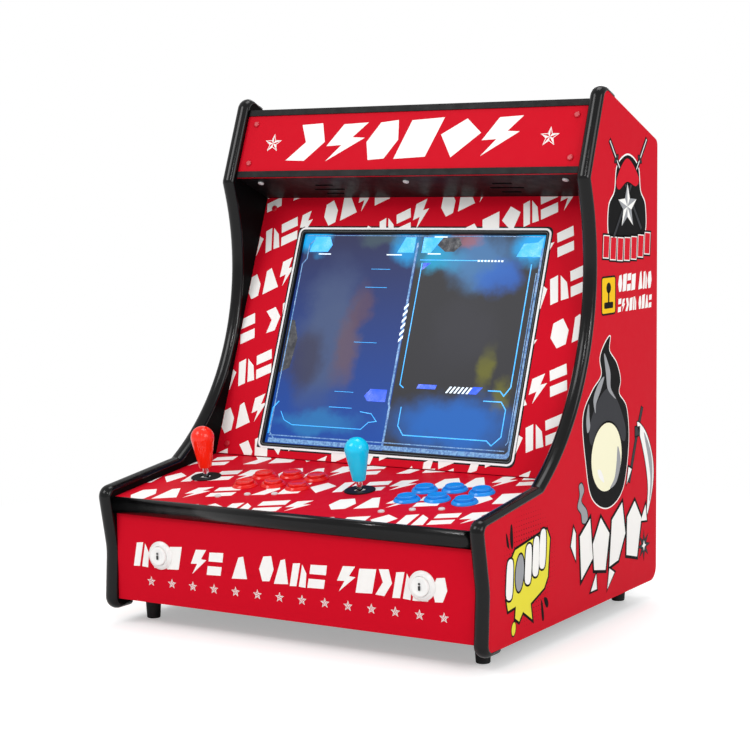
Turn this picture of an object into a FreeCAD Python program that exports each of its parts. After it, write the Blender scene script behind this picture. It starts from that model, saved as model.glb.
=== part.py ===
import FreeCAD, Part
import math
import os
import Sketcher

# Bartop arcade cabinet. Millimetres, X to the player's right, Y to the back, Z up from the floor.

SIZES = {
    # cabinet shell
    "cab_width": 560, "cab_depth": 497.5, "cab_height": 680, "board": 18, "thin_board": 12,
    "side_floor": 25, "front_floor": 33, "lean": 21.2, "seam": 1, "fit": 0.2,
    # side panel outline, measured back from its nose corner
    "toe_back": 9.7, "toe_round": 10, "waist_back": 14.7, "waist_height": 97, "waist_round": 80,
    "nose_round": 9, "nose_tuck": 1.6, "knee_back": 151, "knee_round": 12, "bow": 0.378, "sweep_lead": 15,
    "chin": 8, "chin_round": 6, "lip": 4, "crown": 13, "crown_round": 12, "rear_round": 10, "heel_round": 18,
    # black edge strips
    "trim_proud": 5, "trim_round": 4.8, "trim_toe": 30, "trim_tail": 16, "control_trim": 22, "trim_lift": 0.5,
    # control board
    "control_front": 8.8, "control_height": 167, "control_slope": 7.1, "control_run": 223, "rail": 8.1,
    "front_back": 12.7,
    # screen
    "frame_wide": 396, "frame_high": 322, "frame_centre": 172, "frame_round": 9, "frame_thick": 5,
    "frame_rim": 9.5, "frame_sill": 10, "panel_thick": 7, "panel_margin": 4, "chassis_margin": 7,
    "chassis_thick": 18, "hump_wide": 200, "hump_high": 140, "hump_thick": 14, "rail_wide": 24,
    "rail_thick": 12, "rail_pitch": 170,
    # speakers
    "speaker_run": 80, "slot_middle": 137.3, "slot_place": 32.6, "slot_pitch": 15.6, "slot_long": 50,
    "slot_short": 29.5, "slot_wide": 5, "speaker_radius": 38, "speaker_depth": 32,
    # marquee
    "marquee_run": 100, "acrylic": 3, "strip_high": 9, "strip_thick": 1.6, "lamp_long": 400,
    "lamp_wide": 20, "lamp_thick": 8, "lamp_back": 30,
    # rear, door, hinges and lock
    "rear_inset": 9, "lower_top": 110, "door_low": 112, "door_high": 518, "upper_low": 520, "door_gap": 2,
    "vent_wide": 120, "vent_slot": 6, "vent_pitch": 22, "vent_low": 180, "vent_middle": 100,
    "pin_radius": 1.5, "pin_play": 0.05, "knuckle": 3, "knuckle_long": 18, "knuckle_gap": 0.3,
    "leaf_thick": 1.2, "leaf_wide": 23.5, "hinge_low": 150, "hinge_rise": 280, "face_gap": 0.3,
    "lock_across": 225, "lock_height": 315, "lock_barrel": 9.5, "lock_flange": 12, "lock_plug": 6,
    "lock_long": 23, "cam_long": 32, "cam_wide": 12, "cam_thick": 2.5, "batten_deep": 10, "batten_play": 0.5,
    "marquee_batten": 24,
    # power inlet
    "inlet_across": -180, "inlet_height": 74, "inlet_wide": 50, "inlet_high": 26, "inlet_rim": 4,
    "inlet_lip": 2, "inlet_hollow": 14, "inlet_back": 14, "socket_wide": 22, "socket_high": 16,
    "socket_place": 9, "rocker_wide": 13, "rocker_high": 18, "rocker_play": 0.5, "rocker_place": -14,
    "rocker_pivot": 3, "rocker_tilt": 6,
    # feet
    "foot_across": 245, "foot_front": 62.7, "foot_rear": 47, "foot_base": 8.7, "foot_top": 10.8,
    # push buttons
    "button_bore": 12.3, "plunger": 12, "rim": 16.75, "start_rim": 18.2, "rim_high": 4, "stem": 13.9,
    "button_hole": 14, "housing_long": 30, "plunger_high": 7.4, "plunger_long": 14, "nut": 18,
    "nut_thick": 6, "switch_long": 20, "switch_wide": 6.4, "switch_high": 10,
    "left_bank": -121, "right_bank": 120.8, "bank_place": 92, "finger_two": 35.7, "finger_three": 75,
    "stagger_two": 12.3, "stagger_three": 10, "row_pitch": 44, "start_across": 192, "start_place": 63,
    # joysticks
    "left_stick": -199, "right_stick": 39.5, "stick_place": 114, "shaft": 3.9, "ball": 8, "pivot_drop": 9,
    "recess": 12, "recess_wide": 66, "flange_wide": 64, "flange_thick": 1.6, "housing_wide": 60,
    "housing_deep": 31, "housing_step": 20, "collar_bore": 8.4, "collar": 11, "collar_high": 5,
    "collar_play": 0.65, "spring_room": 20, "seat_deep": 26, "seat": 13.5, "actuator": 7,
    "actuator_top": 34, "actuator_bottom": 45, "tip_deep": 51, "switch_reach": 12.6, "gate_deep": 48,
    "gate_thick": 2, "gate_half": 9.6, "post": 6, "stick_hole": 12, "washer": 20, "washer_bore": 7.9,
    "washer_thick": 1.6, "plate_bore": 6.8, "bat_low": 13.2, "bat_foot": 8.2, "bat_shoulder": 18.6,
    "bat_high": 69, "bat_round": 15.3, "bat_socket": 60, "spring_wire": 0.6, "spring_radius": 12.6,
    # screws
    "screw_shank": 1.9, "screw_head": 4.2, "screw_high": 2.2, "screw_long": 8, "screw_hole": 2,
    "screw_edge": 16, "screw_inset": 12, "speaker_screw_edge": 28,
    # electronics
    "circuit_wide": 160, "circuit_deep": 100, "circuit_thick": 1.6, "standoff": 6, "supply_wide": 110,
    "supply_deep": 78, "supply_high": 36, "board_back": 255,
}

# Places worked out from the sizes: each panel plane has its lower edge's y and z, and its tilt about X.
LAYOUT = {
    "inner": "dims.cab_width/2 - dims.board",
    "nose_y": "dims.trim_proud - dims.nose_tuck - dims.cab_depth/2",
    "rear_edge": "dims.cab_depth/2",
    "control_tilt": "dims.control_slope",
    "control_y": "layout.nose_y + dims.control_front",
    "control_z": "dims.control_height",
    "screen_tilt": "90 - dims.lean",
    "screen_y": "layout.control_y + dims.control_run*cos(dims.control_slope)",
    "screen_z": "dims.control_height + dims.control_run*sin(dims.control_slope)",
    "marquee_tilt": "90 - dims.lean",
    "marquee_z": "dims.cab_height - (dims.marquee_run + dims.crown)*cos(dims.lean) - dims.lip*sin(dims.lean)",
    "speaker_tilt": "180 - dims.lean",
    "speaker_z": "layout.marquee_z - dims.speaker_run*sin(dims.lean)",
    "screen_run": "(layout.speaker_z - layout.screen_z)/cos(dims.lean)",
    "speaker_y": "layout.screen_y + layout.screen_run*sin(dims.lean)",
    "marquee_y": "layout.speaker_y - dims.speaker_run*cos(dims.lean)",
    "top_tilt": "0 - dims.lean",
    "top_y": "layout.marquee_y + dims.marquee_run*sin(dims.lean)",
    "top_z": "layout.marquee_z + dims.marquee_run*cos(dims.lean)",
    "front_tilt": "90",
    "front_y": "layout.nose_y + dims.front_back",
    "front_z": "dims.front_floor",
    "front_run": "layout.control_z + (dims.front_back - dims.control_front)*tan(dims.control_slope)"
                 " - dims.board/cos(dims.control_slope) - dims.fit - dims.front_floor",
    "hinge_y": "layout.rear_edge - dims.rear_inset",
    "rear_tilt": "90",
    "rear_y": "layout.hinge_y - dims.knuckle - dims.face_gap",
    "rear_z": "0",
    "floor_tilt": "0",
    "floor_y": "0",
    "floor_z": "0",
    "top_run": "(layout.rear_y - layout.top_y)/cos(dims.lean)",
    "upper_top": "layout.top_z - (layout.rear_y - layout.top_y)*tan(dims.lean) - dims.thin_board/cos(dims.lean)",
    "knee_y": "layout.nose_y + dims.knee_back",
    "nose_z": "dims.control_height - dims.control_front*tan(dims.control_slope)"
              " + dims.rail/cos(dims.control_slope)",
    "knee_z": "layout.nose_z + dims.knee_back*tan(dims.control_slope)",
    "chin_y": "layout.marquee_y - dims.lip*cos(dims.lean) - dims.chin*sin(dims.lean)",
    "chin_z": "layout.marquee_z + dims.lip*sin(dims.lean) - dims.chin*cos(dims.lean)",
    "apex_y": "(layout.knee_y + layout.chin_y)/2 + dims.bow*(layout.chin_z - layout.knee_z)",
    "apex_z": "(layout.knee_z + layout.chin_z)/2 - dims.bow*(layout.chin_y - layout.knee_y)",
    "chord": "sqrt((layout.chin_y - layout.knee_y)^2 + (layout.chin_z - layout.knee_z)^2)",
    "sweep": "(layout.chord/2*sqrt(1 + 4*dims.bow^2) - dims.sweep_lead)/(2*dims.bow)",
    "crown_y": "layout.marquee_y + (dims.marquee_run + dims.crown)*sin(dims.lean) - dims.lip*cos(dims.lean)",
    "crown_z": "dims.cab_height",
    "rear_top": "layout.crown_z - (layout.rear_edge - layout.crown_y)*tan(dims.lean)",
    "door_wide": "2*(layout.inner - dims.door_gap)",
    "screw_line": "layout.inner - dims.screw_edge",
    "speaker_screw_line": "layout.inner - dims.speaker_screw_edge",
    "view_wide": "dims.frame_wide - 2*dims.frame_rim",
    "view_high": "dims.frame_high - 2*dims.frame_sill",
    "pivot_deep": "dims.board - dims.recess + dims.pivot_drop",
    "screw_low": "dims.strip_high + dims.screw_inset",
    "screw_top": "dims.marquee_run - dims.strip_high - dims.screw_inset",
}

doc = FreeCAD.newDocument("bartop_cabinet")
dims = doc.addObject("Spreadsheet::Sheet", "dims")
layout = doc.addObject("App::VarSet", "layout")
ruler = doc.addObject("App::FeaturePython", "ruler")
sub_parts = []


def fill_tables():
    """Put the sizes in the sheet and the worked-out places in the layout set."""
    for row, (name, size) in enumerate(SIZES.items(), start=1):
        dims.set("A%d" % row, name)
        dims.set("B%d" % row, str(size))
        dims.setAlias("B%d" % row, name)
    doc.recompute()
    for name, formula in LAYOUT.items():
        layout.addProperty("App::PropertyFloat", name)
        layout.setExpression(name, formula)
        layout.recompute()
    doc.recompute()


def number(formula):
    """Value of a formula in the names of dims and layout."""
    worth = ruler.evalExpression(str(formula))
    return float(getattr(worth, "Value", worth))


def bind(item, path, formula):
    """Tie one property of an object to a formula."""
    item.setExpression(path, str(formula))


def keep(item, label):
    """Name a finished sub-part, so that it is written out."""
    item.Label = label
    sub_parts.append(item)
    return item


def seat(item, plane, across=0, along=0, out=0):
    """Place an object on a panel plane: across X, along the slope, and out of the surface."""
    tilt = "layout.%s_tilt" % plane
    item.Placement = FreeCAD.Placement(FreeCAD.Vector(0, 0, 0), FreeCAD.Rotation(FreeCAD.Vector(1, 0, 0), 5))
    bind(item, "Placement.Rotation.Angle", tilt)
    bind(item, "Placement.Base.x", across)
    bind(item, "Placement.Base.y", "layout.%s_y + (%s)*cos(%s) - (%s)*sin(%s)" % (plane, along, tilt, out, tilt))
    bind(item, "Placement.Base.z", "layout.%s_z + (%s)*sin(%s) + (%s)*cos(%s)" % (plane, along, tilt, out, tilt))
    return item


def new_body(name):
    return doc.addObject("PartDesign::Body", name)


def sketch_on(body, role="XY_Plane", lift=None):
    """New sketch on one of the body's own planes, lifted off it along its normal."""
    sketch = body.newObject("Sketcher::SketchObject", "outline")
    plane = [item for item in body.Origin.OriginFeatures if item.Role == role][0]
    sketch.AttachmentSupport = [(plane, "")]
    sketch.MapMode = "FlatFace"
    if lift is not None:
        bind(sketch, "AttachmentOffset.Base.z", lift)
    return sketch


def sized(kind, *fields):
    """Constraint whose last field is a formula, with that formula."""
    return Sketcher.Constraint(kind, *fields[:-1], number(fields[-1])), fields[-1]


def tied(kind, *fields):
    return Sketcher.Constraint(kind, *fields), None


def at_corner(shape, end, corner):
    return [sized("DistanceX", -1, 1, shape, end, corner[0]), sized("DistanceY", -1, 1, shape, end, corner[1])]


def hold(sketch, rules):
    """Add constraints in one go and bind the sized ones to their formulas."""
    indices = sketch.addConstraint([rule for rule, _ in rules])
    for index, (_, formula) in zip(indices, rules):
        if formula is not None:
            bind(sketch, "Constraints[%d]" % index, formula)


def corner_arc(spots, index, radius):
    """Arc that rounds one corner: its two tangent points, its geometry, and whether it turns left."""
    spot = spots[index]
    before = (spots[index - 1] - spot).normalize()
    after = (spots[(index + 1) % len(spots)] - spot).normalize()
    half = before.getAngle(after)/2
    reach = radius/math.tan(half)
    centre = spot + (before + after).normalize()*(radius/math.sin(half))
    arrive = spot + before*reach
    leave = spot + after*reach
    left = before.cross(after).z < 0
    first, last = (arrive, leave) if left else (leave, arrive)
    start = math.atan2(first.y - centre.y, first.x - centre.x)
    finish = math.atan2(last.y - centre.y, last.x - centre.x)
    if finish < start:
        finish += 2*math.pi
    circle = Part.Circle(centre, FreeCAD.Vector(0, 0, 1), radius)
    return arrive, leave, Part.ArcOfCircle(circle, start, finish), left


def draw(sketch, corners, closed=True):
    """Outline through corners (a, b) or (a, b, radius); a radius rounds its corner with a tangent arc."""
    spots = [FreeCAD.Vector(number(corner[0]), number(corner[1]), 0) for corner in corners]
    count = len(spots)
    arcs = {}
    for index, corner in enumerate(corners):
        if len(corner) == 3:
            arcs[index] = corner_arc(spots, index, number(corner[2]))
    arrive = [arcs[index][0] if index in arcs else spots[index] for index in range(count)]
    leave = [arcs[index][1] if index in arcs else spots[index] for index in range(count)]
    runs = count if closed else count - 1
    lines = []
    for index in range(runs):
        segment = Part.LineSegment(leave[index], arrive[(index + 1) % count])
        lines.append(sketch.addGeometry(segment, False))
    rules = []
    for index in range(count):
        inward = lines[index - 1] if (closed or index > 0) else None
        outward = lines[index] if index < runs else None
        if index in arcs:
            rules += round_corner(sketch, corners[index], spots[index], arcs[index], inward, outward)
        elif outward is None:
            rules += at_corner(inward, 2, corners[index])
        else:
            rules += at_corner(outward, 1, corners[index])
            if inward is not None:
                rules.append(tied("Coincident", inward, 2, outward, 1))
    return rules


def round_corner(sketch, corner, spot, arc_facts, inward, outward):
    """Tangent arc between two lines, held by its radius and by the corner that it replaces."""
    arc = sketch.addGeometry(arc_facts[2], False)
    first, last = (1, 2) if arc_facts[3] else (2, 1)
    point = sketch.addGeometry(Part.Point(spot), True)
    return at_corner(point, 1, corner) + [
        tied("PointOnObject", point, 1, inward), tied("PointOnObject", point, 1, outward),
        tied("Tangent", inward, 2, arc, first), tied("Tangent", arc, last, outward, 1),
        sized("Radius", arc, corner[2])]


def circle(sketch, across, along, radius):
    centre = FreeCAD.Vector(number(across), number(along), 0)
    ring = sketch.addGeometry(Part.Circle(centre, FreeCAD.Vector(0, 0, 1), number(radius)), False)
    return at_corner(ring, 3, (across, along)) + [sized("Radius", ring, radius)]


def rectangle(left, right, low, high, radius=None):
    """Corners of a rectangle, rounded where a radius is given."""
    corners = [(left, low), (right, low), (right, high), (left, high)]
    if radius is not None:
        corners = [corner + (radius,) for corner in corners]
    return corners


def centred(across, along, wide, high, radius=None):
    """Corners of a rectangle about its middle."""
    half, rise = "(%s)/2" % wide, "(%s)/2" % high
    return rectangle("(%s) - %s" % (across, half), "(%s) + %s" % (across, half),
                     "(%s) - %s" % (along, rise), "(%s) + %s" % (along, rise), radius)


def pad(body, sketch, length):
    feature = body.newObject("PartDesign::Pad", "pad")
    feature.Profile = sketch
    bind(feature, "Length", length)
    sketch.Visibility = False
    return feature


def slab(body, outlines, holes, low, high, role="XY_Plane"):
    """Pad outlines and round holes from one height to another."""
    sketch = sketch_on(body, role, low)
    rules = []
    for outline in outlines:
        rules += draw(sketch, outline)
    for hole in holes:
        rules += circle(sketch, *hole)
    hold(sketch, rules)
    return pad(body, sketch, "(%s) - (%s)" % (high, low))


def turned(name, corners):
    """Body turned about its own Z axis from corners (radius, height)."""
    body = new_body(name)
    sketch = sketch_on(body, "XZ_Plane")
    hold(sketch, draw(sketch, corners))
    turn = body.newObject("PartDesign::Revolution", "turn")
    turn.Profile = sketch
    turn.ReferenceAxis = (sketch, ["V_Axis"])
    turn.Angle = 360
    return body


def plate(label, plane, outlines, holes, low, high):
    """Flat board on a panel plane, with its cut-outs, from one depth to another."""
    body = new_body(label)
    slab(body, outlines, holes, low, high)
    return seat(body, plane)


def group(label, master, places):
    """Identical pieces: a compound of links to one master, each at (plane, across, along, out)."""
    links = []
    for place in places:
        link = doc.addObject("App::Link", label + "_copy")
        link.LinkedObject = master
        links.append(seat(link, *place))
    gathered = doc.addObject("Part::Compound", label)
    gathered.Links = links
    return keep(gathered, label)


def compound(label, members):
    gathered = doc.addObject("Part::Compound", label)
    gathered.Links = members
    return keep(gathered, label)


def bank(first):
    """Places of six buttons on the control board: two staggered rows of three fingers."""
    places = []
    for row in ("0", "dims.row_pitch"):
        for finger, stagger in (("0", "0"), ("dims.finger_two", "dims.stagger_two"),
                                ("dims.finger_three", "dims.stagger_three")):
            across = "%s + %s" % (first, finger)
            places.append((across, "dims.bank_place + %s + %s" % (stagger, row)))
    return places


def control_screws():
    """Three screws in front of each bank of buttons."""
    steps = (("-5", "-53"), ("28", "-35"), ("61.5", "-23"))
    banks = ("dims.left_bank", "dims.right_bank")
    return [("%s + %s" % (first, across), "dims.bank_place + %s" % along) for first in banks
            for across, along in steps]


BANKS = {"p1": "dims.left_bank", "p2": "dims.right_bank"}
STICKS = {"p1": "dims.left_stick", "p2": "dims.right_stick"}
BUTTONS = {player: bank(first) for player, first in BANKS.items()}
STARTS = [("0 - dims.start_across", "dims.start_place"), ("dims.start_across", "dims.start_place")]
SPEAKERS = ("0 - dims.slot_middle", "dims.slot_middle")
INNER = ("0 - layout.inner", "layout.inner")
VENT_ROWS = 8
MARQUEE_ROWS = ("layout.screw_low", "layout.screw_top")


def side_outline():
    """Flat face of a side panel, from its toe over the nose and the crown to its heel."""
    return [
        ("layout.nose_y + dims.toe_back", "dims.side_floor", "dims.toe_round"),
        ("layout.rear_edge", "dims.side_floor", "dims.heel_round"),
        ("layout.rear_edge", "layout.rear_top", "dims.rear_round"),
        ("layout.crown_y", "layout.crown_z", "dims.crown_round"),
        ("layout.chin_y", "layout.chin_z", "dims.chin_round"),
        ("layout.apex_y", "layout.apex_z", "layout.sweep"),
        ("layout.knee_y", "layout.knee_z", "dims.knee_round"),
        ("layout.nose_y", "layout.nose_z", "dims.nose_round"),
        ("layout.nose_y + dims.waist_back", "dims.waist_height", "dims.waist_round"),
    ]


def side_panels():
    for label, start in (("left_side_panel", "0 - dims.cab_width/2"), ("right_side_panel", "layout.inner")):
        body = new_body(label)
        slab(body, [side_outline()], [], start, "(%s) + dims.board" % start, "YZ_Plane")
        keep(body, label)


def side_trim(name, start):
    """Rounded strip swept along a side panel's front edge, from under the toe to past the crown."""
    body = new_body(name)
    spine = sketch_on(body, "YZ_Plane", "(%s) + dims.board/2" % start)
    toe = ("layout.nose_y + dims.toe_back + dims.trim_toe", "dims.side_floor")
    tail = ("layout.crown_y + (dims.crown_round + dims.trim_tail)*cos(dims.lean)",
            "layout.crown_z - (dims.crown_round + dims.trim_tail)*sin(dims.lean)")
    outline = side_outline()
    hold(spine, draw(spine, [toe, outline[0]] + outline[:2:-1] + [tail], closed=False))
    section = sketch_on(body, "XZ_Plane", "0 - (%s)" % toe[0])
    left, right = start, "(%s) + dims.board" % start
    outer = "dims.side_floor - dims.trim_proud"
    hold(section, draw(section, [(left, "dims.side_floor"), (right, "dims.side_floor"),
                                 (right, outer, "dims.trim_round"), (left, outer, "dims.trim_round")]))
    pipe = body.newObject("PartDesign::AdditivePipe", "pipe")
    pipe.Profile = section
    pipe.Spine = (spine, [])
    return body


def edge_trims():
    """Black strips: both side panels' front edges and the control board's front edge."""
    strips = [side_trim("left_trim", "0 - dims.cab_width/2"), side_trim("right_trim", "layout.inner")]
    front = new_body("control_trim_strip")
    low = "dims.trim_lift - dims.control_trim"
    outline = [("0", low), ("0", "dims.trim_lift"), ("0 - dims.trim_proud", "dims.trim_lift", "dims.trim_round"),
               ("0 - dims.trim_proud", low, "dims.trim_round")]
    slab(front, [outline], [], INNER[0], INNER[1], "YZ_Plane")
    seat(front, "control")
    compound("edge_trims", strips + [front])


def shell_boards():
    """Base, front, control, bezel, speaker, top and rear boards between the side panels."""
    floor_back = "layout.rear_y - dims.thin_board"
    keep(plate("base_board", "floor", [rectangle(*INNER, "layout.front_y + dims.board", floor_back)], [],
               "dims.front_floor", "dims.front_floor + dims.board"), "base_board")
    start_holes = [(across, along, "dims.button_hole") for across, along in STARTS]
    keep(plate("front_board", "front", [rectangle(*INNER, "0", "layout.front_run")], start_holes,
               "0 - dims.board", "0"), "front_board")
    keep(control_board(), "control_board")
    opening = centred("0", "dims.frame_centre", "dims.frame_wide + 2*dims.fit", "dims.frame_high + 2*dims.fit",
                      "dims.frame_round")
    keep(plate("bezel_board", "screen", [rectangle(*INNER, "dims.seam", "layout.screen_run"), opening],
               screw_holes(bezel_screws()), "0 - dims.thin_board", "0"), "bezel_board")
    slots = [slot for middle in SPEAKERS for slot in speaker_slots(middle)]
    keep(plate("speaker_board", "speaker",
               [rectangle(*INNER, "0 - dims.thin_board", "dims.speaker_run - dims.acrylic")] + slots,
               screw_holes(speaker_screws()), "0 - dims.thin_board", "0"), "speaker_board")
    keep(plate("top_board", "top", [rectangle(*INNER, "dims.acrylic", "layout.top_run")], [],
               "0 - dims.thin_board", "0"), "top_board")
    inlet = centred("dims.inlet_across", "dims.inlet_height", "dims.inlet_wide + 2*dims.fit",
                    "dims.inlet_high + 2*dims.fit")
    lower = plate("rear_lower", "rear", [rectangle(*INNER, "dims.front_floor", "dims.lower_top"), inlet], [],
                  "0", "dims.thin_board")
    upper = plate("rear_upper", "rear", [rectangle(*INNER, "dims.upper_low", "layout.upper_top")], [],
                  "0", "dims.thin_board")
    compound("rear_boards", [lower, upper])


def screw_holes(places):
    return [(across, along, "dims.screw_hole") for across, along in places]


def bezel_screws():
    rows = ("dims.frame_centre - dims.frame_high/2 + dims.screw_head", "layout.screen_run - 16")
    return [(side + "layout.screw_line", row) for side in ("0 - ", "") for row in rows]


def speaker_screws():
    line = "layout.speaker_screw_line"
    return [(side, "dims.speaker_run*0.75") for side in ("0 - " + line, "0", line)]


def marquee_screws():
    return [(side + "layout.screw_line", row) for side in ("0 - ", "") for row in MARQUEE_ROWS]


def speaker_slots(middle):
    """Three slots over one speaker, the middle one longer."""
    slots = []
    for row, long in (("-1", "dims.slot_short"), ("0", "dims.slot_long"), ("1", "dims.slot_short")):
        slots.append(centred(middle, "dims.slot_place + %s*dims.slot_pitch" % row, long, "dims.slot_wide",
                             "0.48*dims.slot_wide"))
    return slots


def control_board():
    """Control board with button, joystick and screw holes, and a recess under each joystick."""
    places = BUTTONS["p1"] + BUTTONS["p2"]
    holes = [(across, along, "dims.button_hole") for across, along in places] + screw_holes(control_screws())
    shafts = [(across, "dims.stick_place", "dims.stick_hole") for across in STICKS.values()]
    outline = rectangle(*INNER, "0", "dims.control_run")
    body = new_body("control_board")
    slab(body, [outline], holes + shafts, "dims.recess - dims.board", "0")
    pockets = [centred(across, "dims.stick_place", "dims.recess_wide", "dims.recess_wide")
               for across in STICKS.values()]
    slab(body, [outline] + pockets, holes, "0 - dims.board", "dims.recess - dims.board")
    return seat(body, "control")


def screen_parts():
    """Moulded screen frame, display panel, its metal chassis and the two rails that carry it."""
    window = centred("0", "dims.frame_centre", "layout.view_wide", "layout.view_high", "2")
    outer = centred("0", "dims.frame_centre", "dims.frame_wide", "dims.frame_high", "dims.frame_round")
    keep(plate("screen_frame", "screen", [outer, window], [], "0 - dims.frame_thick", "0"), "screen_frame")
    glass = centred("0", "dims.frame_centre", "layout.view_wide + 2*dims.panel_margin",
                    "layout.view_high + 2*dims.panel_margin")
    keep(plate("display_panel", "screen", [glass], [], "0 - dims.thin_board",
               "0 - dims.frame_thick"), "display_panel")
    back = "0 - dims.thin_board - dims.chassis_thick"
    chassis = new_body("display_chassis")
    slab(chassis, [centred("0", "dims.frame_centre", "dims.frame_wide + 2*dims.chassis_margin",
                           "dims.frame_high - 2*dims.chassis_margin")], [], back, "0 - dims.thin_board")
    slab(chassis, [centred("0", "dims.frame_centre", "dims.hump_wide", "dims.hump_high")], [],
         back + " - dims.hump_thick", back)
    keep(seat(chassis, "screen"), "display_chassis")
    rails = []
    for row in ("-0.5", "0.5"):
        middle = "dims.frame_centre + %s*dims.rail_pitch" % row
        rails.append(plate("rail", "screen", [centred("0", middle, "2*layout.inner", "dims.rail_wide")], [],
                           back + " - dims.rail_thick", back))
    compound("monitor_rails", rails)


def speaker_units():
    """Round loudspeakers, each a flange, a tapering basket and a magnet."""
    basket = "0.55*dims.speaker_radius"
    unit = turned("speaker", [("0", "0"), ("dims.speaker_radius", "0"), ("dims.speaker_radius", "-2"),
                              ("0.92*dims.speaker_radius", "-2"), (basket, "0.6*(0 - dims.speaker_depth)"),
                              (basket, "0 - dims.speaker_depth"), ("0", "0 - dims.speaker_depth")])
    group("speakers", unit, [("speaker", middle, "dims.slot_place", "0 - dims.thin_board")
                             for middle in SPEAKERS])


def marquee_parts():
    """Acrylic marquee, the strips that hold its edges, and the lamp behind it."""
    keep(plate("marquee_panel", "marquee", [rectangle(*INNER, "0", "dims.marquee_run")],
               screw_holes(marquee_screws()), "0 - dims.acrylic", "0"), "marquee_panel")
    strips = [plate("strip", "marquee", [rectangle(*INNER, low, high)], [], "0", "dims.strip_thick")
              for low, high in (("0", "dims.strip_high"),
                                ("dims.marquee_run - dims.strip_high", "dims.marquee_run"))]
    compound("marquee_strips", strips)
    lamp = centred("0", "dims.lamp_back", "dims.lamp_long", "dims.lamp_wide")
    keep(plate("marquee_lamp", "top", [lamp], [], "0 - dims.thin_board - dims.lamp_thick",
               "0 - dims.thin_board"), "marquee_lamp")


def battens():
    """Wooden battens: beside the base, behind the door's edges and behind the marquee's ends."""
    pieces = []
    play = "dims.thin_board + dims.batten_play"
    ends = (("0 - layout.inner", "dims.board - layout.inner"), ("layout.inner - dims.board", "layout.inner"))
    for left, right in ends:
        pieces.append(plate("batten", "floor", [rectangle(left, right, "layout.front_y + 60",
                                                          "layout.rear_y - 40")], [],
                            "dims.front_floor + dims.board", "dims.front_floor + 2*dims.board"))
        pieces.append(plate("batten", "rear", [rectangle(left, right, "dims.door_low", "dims.door_high")], [],
                            play, play + " + dims.batten_deep"))
    low, high = "dims.thin_board + dims.fit", "dims.marquee_run - dims.thin_board - dims.fit"
    wide = "dims.marquee_batten"
    for side, left, right in (("0 - ", ends[0][0], ends[0][0] + " + " + wide),
                              ("", "%s - %s" % (ends[1][1], wide), ends[1][1])):
        holes = [(side + "layout.screw_line", row, "dims.screw_hole") for row in MARQUEE_ROWS]
        pieces.append(plate("batten", "marquee", [rectangle(left, right, low, high)], holes,
                            "0 - dims.acrylic - dims.board", "0 - dims.acrylic"))
    compound("corner_battens", pieces)


def vent_slots(body, low):
    """Ventilation slots through a board, one row on each side for every step up from low."""
    for row in range(VENT_ROWS):
        height = "%s + %d*dims.vent_pitch" % (low, row)
        sketch = sketch_on(body, "XY_Plane", "dims.thin_board")
        rules = []
        for side in ("-1", "1"):
            rules += draw(sketch, centred("%s*dims.vent_middle" % side, height, "dims.vent_wide", "dims.vent_slot",
                                          "0.48*dims.vent_slot"))
        hold(sketch, rules)
        pocket = body.newObject("PartDesign::Pocket", "vent")
        pocket.Profile = sketch
        bind(pocket, "Length", "dims.thin_board")
        sketch.Visibility = False


def back_door():
    """Rear door with ventilation slots and the lock's hole."""
    edge = "layout.door_wide/2"
    outline = rectangle("0 - " + edge, edge, "dims.door_low", "dims.door_high")
    hole = ("dims.lock_across", "dims.lock_height", "dims.lock_barrel + dims.fit")
    door = plate("back_door", "rear", [outline], [hole], "0", "dims.thin_board")
    vent_slots(door, "dims.vent_low")
    keep(door, "back_door")


def hinge_masters():
    """Fixed leaf, door leaf and pin of one butt hinge, about the pin's axis."""
    total = "3*dims.knuckle_long"
    bore = "dims.pin_radius + dims.pin_play"
    face = "0 - dims.knuckle - dims.face_gap"
    fixed = new_body("fixed_leaf")
    near, far = "0 - dims.knuckle", "dims.leaf_thick - dims.knuckle"
    slab(fixed, [rectangle(near, far, face + " - dims.thin_board", face)], [], "0", total)
    for low in ("0", "2*dims.knuckle_long"):
        high = low + " + dims.knuckle_long"
        slab(fixed, [rectangle(near, far, face, "0")], [], low, high)
        slab(fixed, [], [("0", "0", "dims.knuckle"), ("0", "0", bore)], low, high)
    moving = new_body("door_leaf")
    start = "dims.knuckle + 0.5"
    slab(moving, [rectangle(start, start + " + dims.leaf_wide", face, face + " + dims.leaf_thick")], [],
         "0", total)
    low, high = "dims.knuckle_long + dims.knuckle_gap", "2*dims.knuckle_long - dims.knuckle_gap"
    slab(moving, [rectangle("0", start, face, face + " + dims.leaf_thick")], [], low, high)
    slab(moving, [], [("0", "0", "dims.knuckle"), ("0", "0", bore)], low, high)
    pin = turned("pin", [("0", "-1"), ("dims.pin_radius", "-1"), ("dims.pin_radius", total + " + 1"),
                         ("0", total + " + 1")])
    return fixed, moving, pin


def hinges():
    """Two butt hinges on the left side, seen from the front."""
    heights = ("dims.hinge_low", "dims.hinge_low + dims.hinge_rise")
    places = [("floor", "dims.knuckle - layout.inner", "layout.hinge_y", height) for height in heights]
    for label, master in zip(("fixed_hinge_leaves", "door_hinge_leaves", "hinge_pins"), hinge_masters()):
        group(label, master, places)


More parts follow.
